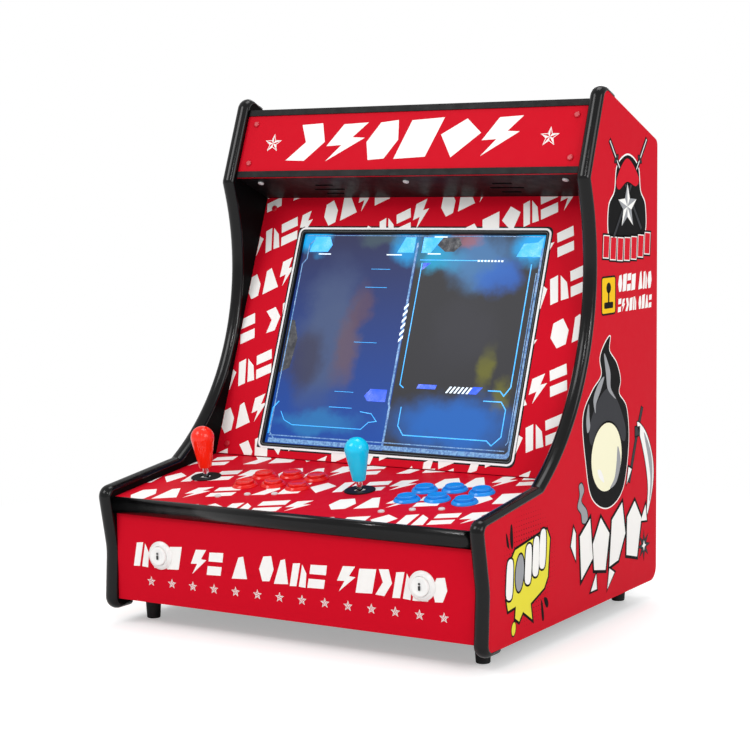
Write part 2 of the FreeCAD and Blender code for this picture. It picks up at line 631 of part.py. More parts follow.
def lock_parts():
    """Cam lock: a flanged barrel in the door, and the turning plug with its cam."""
    bore = "dims.lock_plug + dims.pin_play"
    barrel = turned("lock_barrel", [(bore, "-2"), ("dims.lock_flange", "-2"), ("dims.lock_flange", "0"),
                                    ("dims.lock_barrel", "0"), ("dims.lock_barrel", "dims.lock_long"),
                                    (bore, "dims.lock_long")])
    keep(seat(barrel, "rear", "dims.lock_across", "dims.lock_height"), "lock_barrel")
    cam = turned("lock_cam", [("0", "-1"), ("1.2", "-1"), ("1.2", "-2.5"), ("dims.lock_plug", "-2.5"),
                              ("dims.lock_plug", "dims.lock_long + 0.5"), ("0", "dims.lock_long + 0.5")])
    half = "dims.cam_wide/2"
    slab(cam, [rectangle("0 - " + half, half, "0 - dims.cam_long", half)], [], "dims.lock_long + 0.5",
         "dims.lock_long + 0.5 + dims.cam_thick")
    keep(seat(cam, "rear", "dims.lock_across", "dims.lock_height"), "lock_cam")


def power_inlet():
    """Mains socket and rocker switch in one moulded housing at the lower rear."""
    inlet = new_body("mains_inlet")
    window = centred("dims.rocker_place", "0", "dims.rocker_wide + 2*dims.rocker_play",
                     "dims.rocker_high + 4*dims.rocker_play")
    socket = centred("dims.socket_place", "0", "dims.socket_wide", "dims.socket_high", "2")
    rim = "2*dims.inlet_rim"
    slab(inlet, [centred("0", "0", "dims.inlet_wide + " + rim, "dims.inlet_high + " + rim, "3"), window, socket],
         [], "0 - dims.inlet_lip", "0")
    slab(inlet, [centred("0", "0", "dims.inlet_wide", "dims.inlet_high"), window, socket], [], "0",
         "dims.inlet_hollow")
    slab(inlet, [centred("0", "0", "dims.inlet_wide", "dims.inlet_high")], [], "dims.inlet_hollow",
         "dims.inlet_hollow + dims.inlet_back")
    for across, along in (("-5", "-2"), ("5", "-2"), ("0", "3")):
        slab(inlet, [centred("dims.socket_place + " + across, along, "2", "4")], [], "2", "dims.inlet_hollow")
    keep(seat(inlet, "rear", "dims.inlet_across", "dims.inlet_height"), "mains_inlet")
    rocker = new_body("power_rocker")
    half = "dims.rocker_high/2"
    outline = [("0 - " + half, "-7"), ("0", "-5.2"), (half, "-7"), (half, "0"), ("0", "5"), ("0 - " + half, "0")]
    slab(rocker, [outline], [], "0 - dims.rocker_wide/2", "dims.rocker_wide/2", "YZ_Plane")
    seat(rocker, "rear", "dims.inlet_across + dims.rocker_place", "dims.inlet_height", "dims.rocker_pivot")
    bind(rocker, "Placement.Rotation.Angle", "layout.rear_tilt - dims.rocker_tilt")
    keep(rocker, "power_rocker")


def feet():
    foot = turned("foot", [("0", "0"), ("dims.foot_base", "0", "1.5"), ("dims.foot_top", "dims.front_floor"),
                           ("0", "dims.front_floor")])
    front, rear = "layout.nose_y + dims.foot_front", "layout.rear_edge - dims.foot_rear"
    group("rubber_feet", foot, [("floor", side + "dims.foot_across", along, "0")
                                for side in ("0 - ", "") for along in (front, rear)])


def button_housing(name, rim):
    """Threaded button body: a domed rim, a bore for the plunger and a floor with a hole."""
    depth = "0 - dims.housing_long"
    return turned(name, [("dims.button_bore", "dims.rim_high"), ("dims.button_hole + 0.6", "dims.rim_high", "1.6"),
                         (rim, "1.2", "0.8"), (rim, "0"), ("dims.stem", "0"), ("dims.stem", depth),
                         ("4", depth), ("4", depth + " + 3"), ("dims.button_bore", depth + " + 3")])


def plunger(label, plane, across, along):
    """Button cap with a dished top, sliding in its housing."""
    top = "dims.plunger_high"
    cap = turned(label, [("0", "0 - dims.plunger_long"), ("dims.plunger", "0 - dims.plunger_long"),
                         ("dims.plunger", top, "1.5"), ("0.78*dims.plunger", top, "3"),
                         ("dims.plunger/2", top + " - 0.8", "6"), ("0", top + " - 1")])
    keep(seat(cap, plane, across, along), label)


def buttons():
    """Fourteen push buttons: six for each player and two start buttons."""
    for player in BANKS:
        places = [("control", across, along, "0") for across, along in BUTTONS[player]]
        group(player + "_button_housings", button_housing(player + "_body", "dims.rim"), places)
        for index, (across, along) in enumerate(BUTTONS[player], start=1):
            plunger("%s_button_%d" % (player, index), "control", across, along)
    starts = [("front", across, along, "0") for across, along in STARTS]
    group("start_button_housings", button_housing("start_body", "dims.start_rim"), starts)
    for index, (across, along) in enumerate(STARTS, start=1):
        plunger("start_button_%d" % index, "front", across, along)
    under = "0 - dims.board"
    nut = turned("nut", [("dims.button_hole", "0"), ("dims.nut", "0"), ("dims.nut", "0 - dims.nut_thick"),
                         ("dims.button_hole", "0 - dims.nut_thick")])
    spots = [("control", across, along, under) for player in BANKS for across, along in BUTTONS[player]]
    spots += [("front", across, along, under) for across, along in STARTS]
    group("button_nuts", nut, spots)
    return [(plane, across, along, "0 - dims.housing_long") for plane, across, along, _ in spots]


def switch_body(name, wide, deep):
    """Snap-action switch with two terminals, hanging from its mounting face."""
    body = new_body(name)
    slab(body, [centred("0", "0", wide, deep)], [], "0 - dims.switch_high", "0")
    for side in ("-0.3", "0.3"):
        place = ("%s*dims.switch_long" % side, "0") if wide == "dims.switch_long" else \
            ("0", "%s*dims.switch_long" % side)
        slab(body, [centred(*place, "2", "2")], [], "-5 - dims.switch_high", "0 - dims.switch_high")
    return body


def switches(button_places):
    """One switch under each button, and four round each joystick."""
    wide = switch_body("switch_wide", "dims.switch_long", "dims.switch_wide")
    deep = switch_body("switch_deep", "dims.switch_wide", "dims.switch_long")
    members = []
    spots = [(wide, place) for place in button_places]
    reach = "(dims.switch_reach + dims.switch_wide/2)"
    for across in STICKS.values():
        for sign in ("-", "+"):
            spots.append((deep, ("control", "%s %s %s" % (across, sign, reach), "dims.stick_place",
                                 "0 - dims.housing_deep")))
            spots.append((wide, ("control", across, "dims.stick_place %s %s" % (sign, reach),
                                 "0 - dims.housing_deep")))
    for master, place in spots:
        link = doc.addObject("App::Link", "switch_copy")
        link.LinkedObject = master
        members.append(seat(link, *place))
    compound("microswitches", members)


def stick_housing():
    """Steel flange and moulded housing of a joystick, with the collar's bore and the spring's room."""
    body = new_body("stick_housing")
    square = centred("0", "0", "dims.housing_wide", "dims.housing_wide")
    top = "dims.recess - dims.board"
    under = top + " - dims.flange_thick"
    slab(body, [centred("0", "0", "dims.flange_wide", "dims.flange_wide")], [("0", "0", "dims.plate_bore")],
         under, top)
    slab(body, [square], [("0", "0", "dims.collar + dims.collar_play")], "0 - dims.housing_step", under)
    slab(body, [square], [("0", "0", "dims.spring_room")], "0 - dims.housing_deep", "0 - dims.housing_step")
    return body


def stick_gate():
    """Square restrictor gate on four posts under the housing."""
    body = new_body("stick_gate")
    slab(body, [centred("0", "0", "dims.housing_wide", "dims.housing_wide"),
                centred("0", "0", "2*dims.gate_half", "2*dims.gate_half")], [],
         "0 - dims.gate_deep - dims.gate_thick", "0 - dims.gate_deep")
    corner = "(dims.housing_wide - dims.post)/2"
    for across in ("-", ""):
        for along in ("-", ""):
            slab(body, [centred(across + corner, along + corner, "dims.post", "dims.post")], [],
                 "0 - dims.gate_deep", "0 - dims.housing_deep")
    return body


def stick_shaft(label):
    """Steel shaft with its pivot ball, spring seat and actuator."""
    seat_low = "0 - dims.seat_deep - 1"
    shaft = turned(label, [
        ("0", "0 - dims.tip_deep"), ("dims.shaft", "0 - dims.tip_deep"),
        ("dims.shaft", "0 - dims.actuator_bottom"), ("dims.actuator", "0 - dims.actuator_bottom"),
        ("dims.actuator", "0 - dims.actuator_top"), ("dims.shaft", "0 - dims.actuator_top"),
        ("dims.shaft", seat_low), ("dims.seat", seat_low), ("dims.seat", "0 - dims.seat_deep"),
        ("dims.shaft", "0 - dims.seat_deep"), ("dims.shaft", "dims.bat_socket"), ("0", "dims.bat_socket")])
    ball = shaft.newObject("PartDesign::AdditiveSphere", "ball")
    bind(ball, "Radius", "dims.ball")
    plane = [item for item in shaft.Origin.OriginFeatures if item.Role == "XY_Plane"][0]
    ball.AttachmentSupport = [(plane, "")]
    ball.MapMode = "FlatFace"
    bind(ball, "AttachmentOffset.Base.z", "0 - layout.pivot_deep")
    return shaft


def spring():
    """Short centring spring between the housing's step and the shaft's seat."""
    body = new_body("spring")
    section = sketch_on(body, "XZ_Plane")
    low = "dims.spring_wire + 0.1 - dims.seat_deep"
    hold(section, circle(section, "dims.spring_radius", low, "dims.spring_wire"))
    coil = body.newObject("PartDesign::AdditiveHelix", "coil")
    coil.Profile = section
    coil.ReferenceAxis = (section, ["V_Axis"])
    coil.Mode = "height-turns-angle"
    bind(coil, "Height", "dims.seat_deep - dims.housing_step - 2*dims.spring_wire - 0.2")
    coil.Turns = 2.5
    return body


def joysticks():
    """Two joysticks: housings, gates, springs and washers in groups, moving pieces one by one."""
    spots = [("control", across, "dims.stick_place", "0") for across in STICKS.values()]
    group("stick_housings", stick_housing(), spots)
    group("stick_gates", stick_gate(), spots)
    group("stick_springs", spring(), spots)
    washer = turned("washer", [("dims.washer_bore", "0"), ("dims.washer", "0"),
                               ("dims.washer", "dims.washer_thick", "1"), ("dims.washer_bore", "dims.washer_thick")])
    group("dust_washers", washer, spots)
    for player, across in STICKS.items():
        half = "dims.collar_high/2"
        collar = turned(player + "_pivot_collar", [
            ("dims.collar_bore", "0 - " + half), ("dims.collar", "0 - " + half), ("dims.collar", half),
            ("dims.collar_bore", half)])
        keep(seat(collar, "control", across, "dims.stick_place", "0 - layout.pivot_deep"),
             player + "_pivot_collar")
        shaft = stick_shaft(player + "_stick_shaft")
        keep(seat(shaft, "control", across, "dims.stick_place"), player + "_stick_shaft")
        socket = "dims.shaft + 0.05"
        bat = turned(player + "_bat_top", [
            (socket, "dims.bat_low"), ("dims.bat_foot", "dims.bat_low", "1.5"),
            ("dims.bat_shoulder", "dims.bat_high", "dims.bat_round"), ("0", "dims.bat_high"),
            ("0", "dims.bat_socket"), (socket, "dims.bat_socket")])
        keep(seat(bat, "control", across, "dims.stick_place"), player + "_bat_top")


def screws():
    """Pan-head screws of the control board, speaker board, bezel and marquee."""
    head = "dims.screw_head"
    screw = turned("screw", [("0", "0 - dims.screw_long"), ("dims.screw_shank", "0 - dims.screw_long"),
                             ("dims.screw_shank", "0"), (head, "0"), (head, "dims.screw_high", "1.4"),
                             ("0", "dims.screw_high")])
    places = [("control",) + place + ("0",) for place in control_screws()]
    places += [("speaker",) + place + ("0",) for place in speaker_screws()]
    places += [("screen",) + place + ("0",) for place in bezel_screws()]
    places += [("marquee",) + place + ("0",) for place in marquee_screws()]
    group("panel_screws", screw, places)


def electronics():
    """Circuit board on standoffs and the power supply, on the base board."""
    floor = "dims.front_floor + dims.board"
    board = new_body("game_board")
    slab(board, [centred("0", "0", "dims.circuit_wide", "dims.circuit_deep")], [], "dims.standoff",
         "dims.standoff + dims.circuit_thick")
    top = "dims.standoff + dims.circuit_thick"
    for across in ("-0.45", "0.45"):
        for along in ("-0.45", "0.45"):
            slab(board, [], [(across + "*dims.circuit_wide", along + "*dims.circuit_deep", "3")], "0",
                 "dims.standoff")
    for across, along, wide, high in ((-40, 10, 34, 8), (10, 5, 20, 3), (50, 20, 16, 10), (30, -25, 50, 5)):
        slab(board, [centred(across, along, wide, "24")], [], top, "%s + %d" % (top, high))
    keep(seat(board, "floor", "110", "layout.nose_y + dims.board_back + dims.circuit_deep/2", floor),
         "game_board")
    supply = new_body("power_supply")
    slab(supply, [centred("0", "0", "dims.supply_wide", "dims.supply_deep", "2")], [], "0", "dims.supply_high")
    slab(supply, [centred("0", "0.4*dims.supply_deep", "0.8*dims.supply_wide", "8")], [], "dims.supply_high",
         "dims.supply_high + 8")
    keep(seat(supply, "floor", "-140", "layout.nose_y + dims.board_back + dims.supply_deep/2", floor),
         "power_supply")


def check_model():
    """Stop if any object failed or any sub-part has no sound solid."""
    for item in doc.Objects:
        if "Invalid" in item.State or "Error" in item.State:
            raise RuntimeError("%s (%s) failed" % (item.Name, item.Label))
    for item in sub_parts:
        if item.Shape.isNull() or not item.Shape.isValid() or not item.Shape.Solids:
            raise RuntimeError("%s has no valid solid" % item.Label)
        if any(solid.Volume <= 0 for solid in item.Shape.Solids):
            raise RuntimeError("%s has an empty solid" % item.Label)


def main():
    fill_tables()
    side_panels()
    edge_trims()
    shell_boards()
    screen_parts()
    speaker_units()
    marquee_parts()
    battens()
    back_door()
    hinges()
    lock_parts()
    power_inlet()
    feet()
    switches(buttons())
    joysticks()
    screws()
    electronics()
    doc.recompute()
    check_model()
    os.makedirs("parts", exist_ok=True)
    for item in sub_parts:
        item.Shape.exportStep(os.path.join("parts", item.Label + ".step"))
    print(len(sub_parts), "nodes,", sum(len(item.Shape.Solids) for item in sub_parts), "solids")


main()
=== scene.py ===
import math
import random

import bmesh
import bpy
from bpy.props import FloatProperty, FloatVectorProperty, IntProperty, PointerProperty
from mathutils import Matrix, Vector


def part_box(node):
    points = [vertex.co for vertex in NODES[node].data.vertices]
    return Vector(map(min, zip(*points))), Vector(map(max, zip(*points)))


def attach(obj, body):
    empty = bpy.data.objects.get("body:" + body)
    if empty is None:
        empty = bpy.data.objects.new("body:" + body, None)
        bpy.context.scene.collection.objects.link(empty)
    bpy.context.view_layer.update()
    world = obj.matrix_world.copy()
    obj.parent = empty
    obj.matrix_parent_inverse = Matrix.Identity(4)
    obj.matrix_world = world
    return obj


bl_info = {
    "name": "Bartop game cabinet",
    "version": (1, 0, 0),
    "blender": (4, 5, 0),
    "location": "View3D > Sidebar > Cabinet",
    "description": "Finishes, printed graphics and screen picture of a two-player bartop cabinet",
    "category": "Object",
}

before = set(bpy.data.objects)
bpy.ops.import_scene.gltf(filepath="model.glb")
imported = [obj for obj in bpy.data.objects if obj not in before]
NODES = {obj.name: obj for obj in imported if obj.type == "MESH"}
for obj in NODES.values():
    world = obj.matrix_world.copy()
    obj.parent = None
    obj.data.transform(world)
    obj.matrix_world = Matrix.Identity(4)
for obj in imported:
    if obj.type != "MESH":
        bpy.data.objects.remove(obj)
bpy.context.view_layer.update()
MM = 0.001
HALF = round(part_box("control_board")[1].x / MM, 3)  # from the middle to a side board's inner face, mm
DECK = (0, -0.12, 0.99)  # roughly out of the control panel
LEANING = (0, -0.93, 0.36)  # roughly out of the bezel, screen and marquee
MARGIN = 0.5  # bare strip between a print and its board's edge, mm
INK = 0.1  # thickness of one printed layer, mm
LAYER = 0.06  # from one layer of ink to the next, mm
FILM = {"rough": 0.45, "grain": 0.9, "depth": 0.012, "shine": 0.03}  # satin overlay of all printed vinyl


# ---- colours, nodes and materials -------------------------------------------------------------


def linear(code, alpha=1.0):
    """An sRGB hex value such as D21128 as a linear colour."""
    parts = [int(code[i : i + 2], 16) / 255 for i in (0, 2, 4)]
    return tuple(c / 12.92 if c <= 0.04045 else ((c + 0.055) / 1.055) ** 2.4 for c in parts) + (alpha,)


def add(tree, kind, sockets=None, **settings):
    """Adds a shader node, sets its settings, and fills or links its sockets."""
    made = tree.nodes.new("ShaderNode" + kind)
    for key, value in settings.items():
        setattr(made, key, value)
    for key, value in (sockets or {}).items():
        if isinstance(value, bpy.types.NodeSocket):
            tree.links.new(value, made.inputs[key])
        else:
            made.inputs[key].default_value = value
    return made


def mix(tree, factor, first, second):
    """Two colours mixed by a factor."""
    return add(tree, "MixRGB", {"Fac": factor, "Color1": first, "Color2": second}).outputs["Color"]


def calc(tree, operation, first, second=0.0):
    """The result of one Math node."""
    return add(tree, "Math", {0: first, 1: second}, operation=operation).outputs["Value"]


def vector(tree, operation, sockets, result="Vector"):
    """The result of one Vector Math node."""
    return add(tree, "VectorMath", sockets, operation=operation).outputs[result]


def blank(name):
    """An empty node material and its tree."""
    made = bpy.data.materials.get(name) or bpy.data.materials.new(name)
    made.use_nodes = True
    made.node_tree.nodes.clear()
    return made, made.node_tree


def surface(name, code, rough, grain, depth, spread=0.05, ior=1.5, metal=0.0, coat=0.0,
            stretch=(1, 1, 1), second=None, glow=None, patches=120, extra=None, shine=0.5):
    """A worked surface. grain is the size in mm of its texture and depth its height in mm. spread is how far
    roughness and shade wander over patches of the given size in mm. second is a colour that the grain mixes in.
    shine is the specular level, lower for a film that scatters its reflection."""
    made, tree = blank(name)
    place = add(tree, "TexCoord").outputs["Object"]
    drawn = add(tree, "Mapping", {"Vector": place, "Scale": stretch}).outputs["Vector"]
    fine = add(tree, "TexNoise", {"Vector": drawn, "Scale": 1 / (grain * MM), "Detail": 3.0, "Roughness": 0.6})
    broad = add(tree, "TexNoise", {"Vector": place, "Scale": 1 / (patches * MM), "Detail": 4.0, "Roughness": 0.55})
    dust = add(tree, "TexNoise", {"Vector": place, "Scale": 1 / (14 * MM), "Detail": 5.0, "Roughness": 0.7})
    base = linear(code)
    dark = tuple(c * (1 - spread) for c in base[:3]) + (1,)
    tint = mix(tree, broad.outputs["Fac"], base, dark)
    if second:
        mask = add(tree, "MapRange", {"Value": fine.outputs["Fac"], "From Min": 0.42, "From Max": 0.62})
        tint = mix(tree, mask.outputs["Result"], tint, linear(second))
    if extra:
        tint = extra(tree, place, tint)
    wear = add(tree, "MapRange", {"Value": dust.outputs["Fac"], "From Min": 0.3, "From Max": 0.75,
                                  "To Min": max(0.02, rough - spread), "To Max": min(1, rough + 2 * spread)})
    bump = add(tree, "Bump", {"Strength": 0.35, "Distance": depth * MM, "Height": fine.outputs["Fac"]})
    sockets = {"Base Color": tint, "Roughness": wear.outputs["Result"], "Normal": bump.outputs["Normal"],
               "Metallic": metal, "Coat Weight": coat, "Coat Roughness": 0.1}
    if not metal:
        sockets["IOR"] = ior
        sockets["Specular IOR Level"] = shine
    if glow:
        sockets["Emission Color"] = tint
        sockets["Emission Strength"] = glow
    shader = add(tree, "BsdfPrincipled", sockets)
    add(tree, "OutputMaterial", {"Surface": shader.outputs["BSDF"]})
    return made


def dress(names, material):
    """Gives CAD nodes a material."""
    for name in names:
        slots = NODES[name].data.materials
        slots.clear()
        slots.append(material)


def ease(names, width, angle=35):
    """Rounds edges of CAD nodes sharper than angle by a small radius in mm, as sanding and folding leave them."""
    for name in names:
        target = NODES[name]
        weld = target.modifiers.new("Weld", "WELD")
        weld.merge_threshold = 0.00001
        bevel = target.modifiers.new("Ease", "BEVEL")
        bevel.width = width * MM
        bevel.segments = 2
        bevel.limit_method = "ANGLE"
        bevel.angle_limit = math.radians(angle)
        bevel.harden_normals = True
        bevel.use_clamp_overlap = True


# ---- flat shapes, in mm on a panel's face -----------------------------------------------------


class Face:
    """The outermost flat face of a CAD node. u runs across it, v up it and w out of it, in mm."""

    def __init__(self, node, out, across=(1, 0, 0), from_edge=True):
        mesh = NODES[node].data
        hint = Vector(out).normalized()
        near = [p for p in mesh.polygons if p.normal.dot(hint) > 0.98 and p.area > 0]
        level = max(p.center.dot(hint) for p in near)
        near = [p for p in near if p.center.dot(hint) > level - 3 * MM]
        self.out = sum((p.normal * p.area for p in near), Vector()).normalized()
        self.across = Vector(across)
        self.along = self.out.cross(self.across).normalized()
        if self.along.z < 0:
            self.along = -self.along
        corners = [mesh.vertices[i].co for p in near for i in p.vertices]
        lift = max(c.dot(self.out) for c in corners)
        low = min(c.dot(self.along) for c in corners) if from_edge else 0
        self.origin = self.out * lift + self.along * low
        self.run = (max(c.dot(self.along) for c in corners) - low) / MM

    def at(self, u, v, w=0.0):
        return self.origin + (self.across * u + self.along * v + self.out * w) * MM


def box(left, low, right, high):
    return [(left, low), (right, low), (right, high), (left, high)]


def oval(u, v, wide, high, turn=0.0, steps=20):
    """An ellipse of half width wide and half height high, turned by degrees."""
    c, s = math.cos(math.radians(turn)), math.sin(math.radians(turn))
    ring = [(wide * math.cos(k * math.tau / steps), high * math.sin(k * math.tau / steps)) for k in range(steps)]
    return [(u + x * c - y * s, v + x * s + y * c) for x, y in ring]


def star(u, v, outer, inner, points=5, turn=90.0):
    """A star with its first tip at turn degrees."""
    ring = []
    for k in range(2 * points):
        a = math.radians(turn) + k * math.pi / points
        r = inner if k % 2 else outer
        ring.append((u + r * math.cos(a), v + r * math.sin(a)))
    return ring


def rounded(left, low, right, high, radius, steps=6):
    """A rectangle with round corners."""
    ring = []
    for u, v, first in ((right, low, -90), (right, high, 0), (left, high, 90), (left, low, 180)):
        cu = u - radius if u == right else u + radius
        cv = v - radius if v == high else v + radius
        for k in range(steps + 1):
            a = math.radians(first + 90 * k / steps)
            ring.append((cu + radius * math.cos(a), cv + radius * math.sin(a)))
    return ring


def smooth(points, steps=6):
    """A closed curve through the points."""
    n, ring = len(points), []
    for i in range(n):
        a, b, c, d = (points[(i + k - 1) % n] for k in range(4))
        for k in range(steps):
            t = k / steps
            ring.append(tuple(
                0.5 * (2 * b[j] + (c[j] - a[j]) * t + (2 * a[j] - 5 * b[j] + 4 * c[j] - d[j]) * t * t
                       + (3 * b[j] - a[j] - 3 * c[j] + d[j]) * t ** 3) for j in (0, 1)))
    return ring


def area(shape):
    return 0.5 * sum(a[0] * b[1] - b[0] * a[1] for a, b in zip(shape, shape[1:] + shape[:1]))


def shifted(points, distance, closed=True):
    """The points moved sideways by a distance, with mitred corners that never run out further than 2.5 times."""
    n, made = len(points), []
    for i, p in enumerate(points):
        before = points[i - 1] if closed or i else None
        after = points[(i + 1) % n] if closed or i < n - 1 else None
        sides = []
        for a, b in ((before, p), (p, after)):
            if a is None or b is None:
                continue
            x, y = b[0] - a[0], b[1] - a[1]
            size = math.hypot(x, y) or 1
            sides.append((y / size, -x / size))
        mx, my = sum(s[0] for s in sides) / len(sides), sum(s[1] for s in sides) / len(sides)
        size = max(mx * mx + my * my, 0.16)
        made.append((p[0] + mx * distance / size, p[1] + my * distance / size))
    return made


def grown(shape, distance):
    """The shape with a border added all round."""
    return shifted(shape, distance if area(shape) > 0 else -distance)


def stroke(points, wide, closed=False):
    """A line of the given width as a row of quads."""
    left, right = shifted(points, -wide / 2, closed), shifted(points, wide / 2, closed)
    last = len(points) if closed else len(points) - 1
    n = len(points)
    return [[right[i], right[(i + 1) % n], left[(i + 1) % n], left[i]] for i in range(last)]


def cut(shape, window):
    """The part of a shape inside a window given as left, low, right, high."""
    for axis, limit, sign in ((0, window[0], 1), (1, window[1], 1), (0, window[2], -1), (1, window[3], -1)):
        kept = []
        for a, b in zip(shape, shape[1:] + shape[:1]):
            da, db = sign * (a[axis] - limit), sign * (b[axis] - limit)
            if da >= 0:
                kept.append(a)
            if (da > 0 > db) or (da < 0 < db):
                t = da / (da - db)
                kept.append((a[0] + (b[0] - a[0]) * t, a[1] + (b[1] - a[1]) * t))
        shape = kept
        if len(shape) < 3:
            return []
    return shape if abs(area(shape)) > 0.3 else []


def placed(shapes, u, v, turn=0.0, lean=0.0):
    """Shapes leaned over by degrees, turned by degrees and moved."""
    c, s, k = math.cos(math.radians(turn)), math.sin(math.radians(turn)), math.tan(math.radians(lean))
    made = []
    for shape in shapes:
        made.append([(u + (x + k * y) * c - y * s, v + (x + k * y) * s + y * c) for x, y in shape])
    return made


# Bold comic-style blocks, each in a square of side 1: a slab, arrowhead, bolt, wedge, gem, kite, rung pair and so on.
BLOCKS = {
    "slab": [[(0, 0), (0.92, 0.04), (1, 1), (0.06, 0.95)]],
    "arrow": [[(0, 0.02), (0.6, 0), (1, 0.5), (0.68, 1), (0.04, 0.97), (0.4, 0.5)]],
    "bolt": [[(0.16, 0), (1, 0.6), (0.64, 0.62), (0.92, 1), (0.24, 0.97), (0, 0.4), (0.42, 0.42)]],
    "wedge": [[(0, 0), (1, 0.05), (0.6, 1), (0.3, 0.94)]],
    "gem": [[(0.3, 0), (0.8, 0.03), (1, 0.5), (0.74, 1), (0.2, 0.95), (0, 0.46)]],
    "kite": [[(0.5, 0), (1, 0.62), (0.5, 1), (0, 0.6)]],
    "rungs": [[(0, 0), (0.96, 0.03), (0.98, 0.4), (0.02, 0.38)], [(0.04, 0.58), (1, 0.6), (1, 1), (0.05, 0.96)]],
    "split": [[(0, 0), (0.42, 0.02), (0.5, 1), (0.06, 0.96)], [(0.58, 0.02), (1, 0), (0.96, 0.6), (0.64, 0.96)]],
}


def blocks(names, wide, high, gap, rise=0.0, seed=1):
    """A row of blocks. A space leaves a gap. rise lets each block jump up or down by that many mm."""
    dice = random.Random(seed)
    made, u = [], 0.0
    for name in names:
        if name == " ":
            u += wide * 0.62
            continue
        w = wide * dice.uniform(0.88, 1.12)
        h = high * dice.uniform(0.94, 1.06)
        lift = dice.uniform(-rise, rise)
        made += [[(u + x * w, lift + y * h) for x, y in loop] for loop in BLOCKS[name]]
        u += w + gap
    return made, u


def link(name, data):
    """A new object in the scene that shows some data."""
    made = bpy.data.objects.new(name, data)
    bpy.context.scene.collection.objects.link(made)
    return made


def finish(name, bm, material, body="cabinet"):
    """Turns a mesh under construction into a piece that rides on a body."""
    bmesh.ops.recalc_face_normals(bm, faces=bm.faces)
    mesh = bpy.data.meshes.new(name)
    bm.to_mesh(mesh)
    bm.free()
    mesh.materials.append(material)
    made = link(name, mesh)
    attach(made, body)
    return made


def piece(name, face, shapes, material, low=0.0, high=INK, body="cabinet"):
    """One thin printed piece: every shape becomes a closed flat solid between the heights low and high."""
    bm = bmesh.new()
    for shape in shapes:
        if area(shape) < 0:
            shape = shape[::-1]
        tops = [bm.verts.new(face.at(u, v, high)) for u, v in shape]
        feet = [bm.verts.new(face.at(u, v, low)) for u, v in shape]
        bm.faces.new(tops)
        bm.faces.new(feet[::-1])
        for i in range(len(shape)):
            j = (i + 1) % len(shape)
            bm.faces.new((feet[i], feet[j], tops[j], tops[i]))
    bm.normal_update()
    bmesh.ops.triangulate(bm, faces=[f for f in bm.faces if len(f.verts) > 3], ngon_method="EAR_CLIP")
    return finish(name, bm, material, body)


def extrude(name, face, profile, left, right, material):
    """A closed bar with a profile given as (v, w), from left to right along u."""
    bm = bmesh.new()
    ends = [[bm.verts.new(face.at(u, v, w)) for v, w in profile] for u in (left, right)]
    for end in ends:
        bm.faces.new(end)
    for i in range(len(profile)):
        j = (i + 1) % len(profile)
        bm.faces.new((ends[0][i], ends[0][j], ends[1][j], ends[1][i])).smooth = i < len(profile) - 1
    return finish(name, bm, material)


def outline(name, sign):
    """The edge of a side board's outer face as (y, z) points in mm, in order, with the board on their left. sign
    is 1 where that face looks along +X, else -1."""
    mesh = NODES[name].data
    skin = max(sign * v.co.x for v in mesh.vertices) - 0.5 * MM
    links = set()
    for face in mesh.polygons:
        if face.normal.x * sign < 0.99 or face.center.x * sign < skin:
            continue
        ring = [tuple(round(c / MM, 1) for c in mesh.vertices[i].co.yz) for i in face.vertices][::sign]
        for a, b in zip(ring, ring[1:] + ring[:1]):
            if (b, a) in links:
                links.remove((b, a))
            elif a != b:
                links.add((a, b))
    after = dict(links)
    path = [min(after)]
    while after[path[-1]] != path[0]:
        path.append(after[path[-1]])
    return path


def nosing(side, material, half=9.5, rise=7.0, sink=0.4, steps=12):
    """Rounded edge moulding pushed over a side board, from the slope behind its crown round to under its toe.
    half is half its width, rise its height and sink how far its feet reach into the board, all in mm."""
    board = f"{side}_side_panel"
    path = outline(board, 1 if side == "right" else -1)
    trim = [v.co / MM for v in NODES["edge_trims"].data.vertices]
    tail, floor = max(c.y for c in trim), min(p[1] for p in path)
    toe = max(c.y for c in trim if c.z < floor) + 1
    crown = path.index(max(path, key=lambda p: p[1]))
    path = path[crown:] + path[:crown]
    first = max(i for i, p in enumerate(path) if p[0] > tail)
    last = path.index(min(p for p in path if p[1] == floor))
    run = path[first + 1 :] + path[: last + 1]
    a, b = path[first], run[0]
    t = (tail - a[0]) / (b[0] - a[0])
    run = [(tail, a[1] + (b[1] - a[1]) * t)] + run + [(toe, floor)]
    middle = sum(corner.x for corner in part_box(board)) / 2 / MM
    bm = bmesh.new()
    rows = []
    for k in range(steps + 1):
        angle = math.pi * k / steps
        line = shifted(run, rise * math.sin(angle) - sink, closed=False)
        rows.append([bm.verts.new(Vector((middle + half * math.cos(angle), y, z)) * MM) for y, z in line])
    for k in range(steps):
        for i in range(len(run) - 1):
            bm.faces.new((rows[k][i], rows[k][i + 1], rows[k + 1][i + 1], rows[k + 1][i])).smooth = True
    for i in range(len(run) - 1):
        bm.faces.new((rows[0][i], rows[0][i + 1], rows[-1][i + 1], rows[-1][i]))
    for end in (0, -1):
        bm.faces.new([row[end] for row in rows])
    return finish(f"{side}_nosing", bm, material)


# ---- settings ---------------------------------------------------------------------------------


def number(name, text, value):
    return FloatProperty(name=name, description=text, default=value)


class CabinetSizes(bpy.types.PropertyGroup):
    """Sizes of the printed graphics and of the boards' eased edges."""

    block_high: number("Block height", "Height of the blocks on the bezel", 35.0)
    row_pitch: number("Row pitch", "From one bezel row to the next, up the panel", 65.0)
    row_rise: number("Row rise", "Angle at which the bezel rows climb", 23.0)
    deck_scale: number("Deck scale", "Size of the control panel's print beside the bezel's", 1.3)
    star_wide: number("Front star", "Tip radius of the small front stars", 6.0)
    star_count: IntProperty(name="Front stars", description="How many small stars stand in the row", default=14)
    edge_ease: number("Eased edge", "Radius on the boards' edges", 0.5)


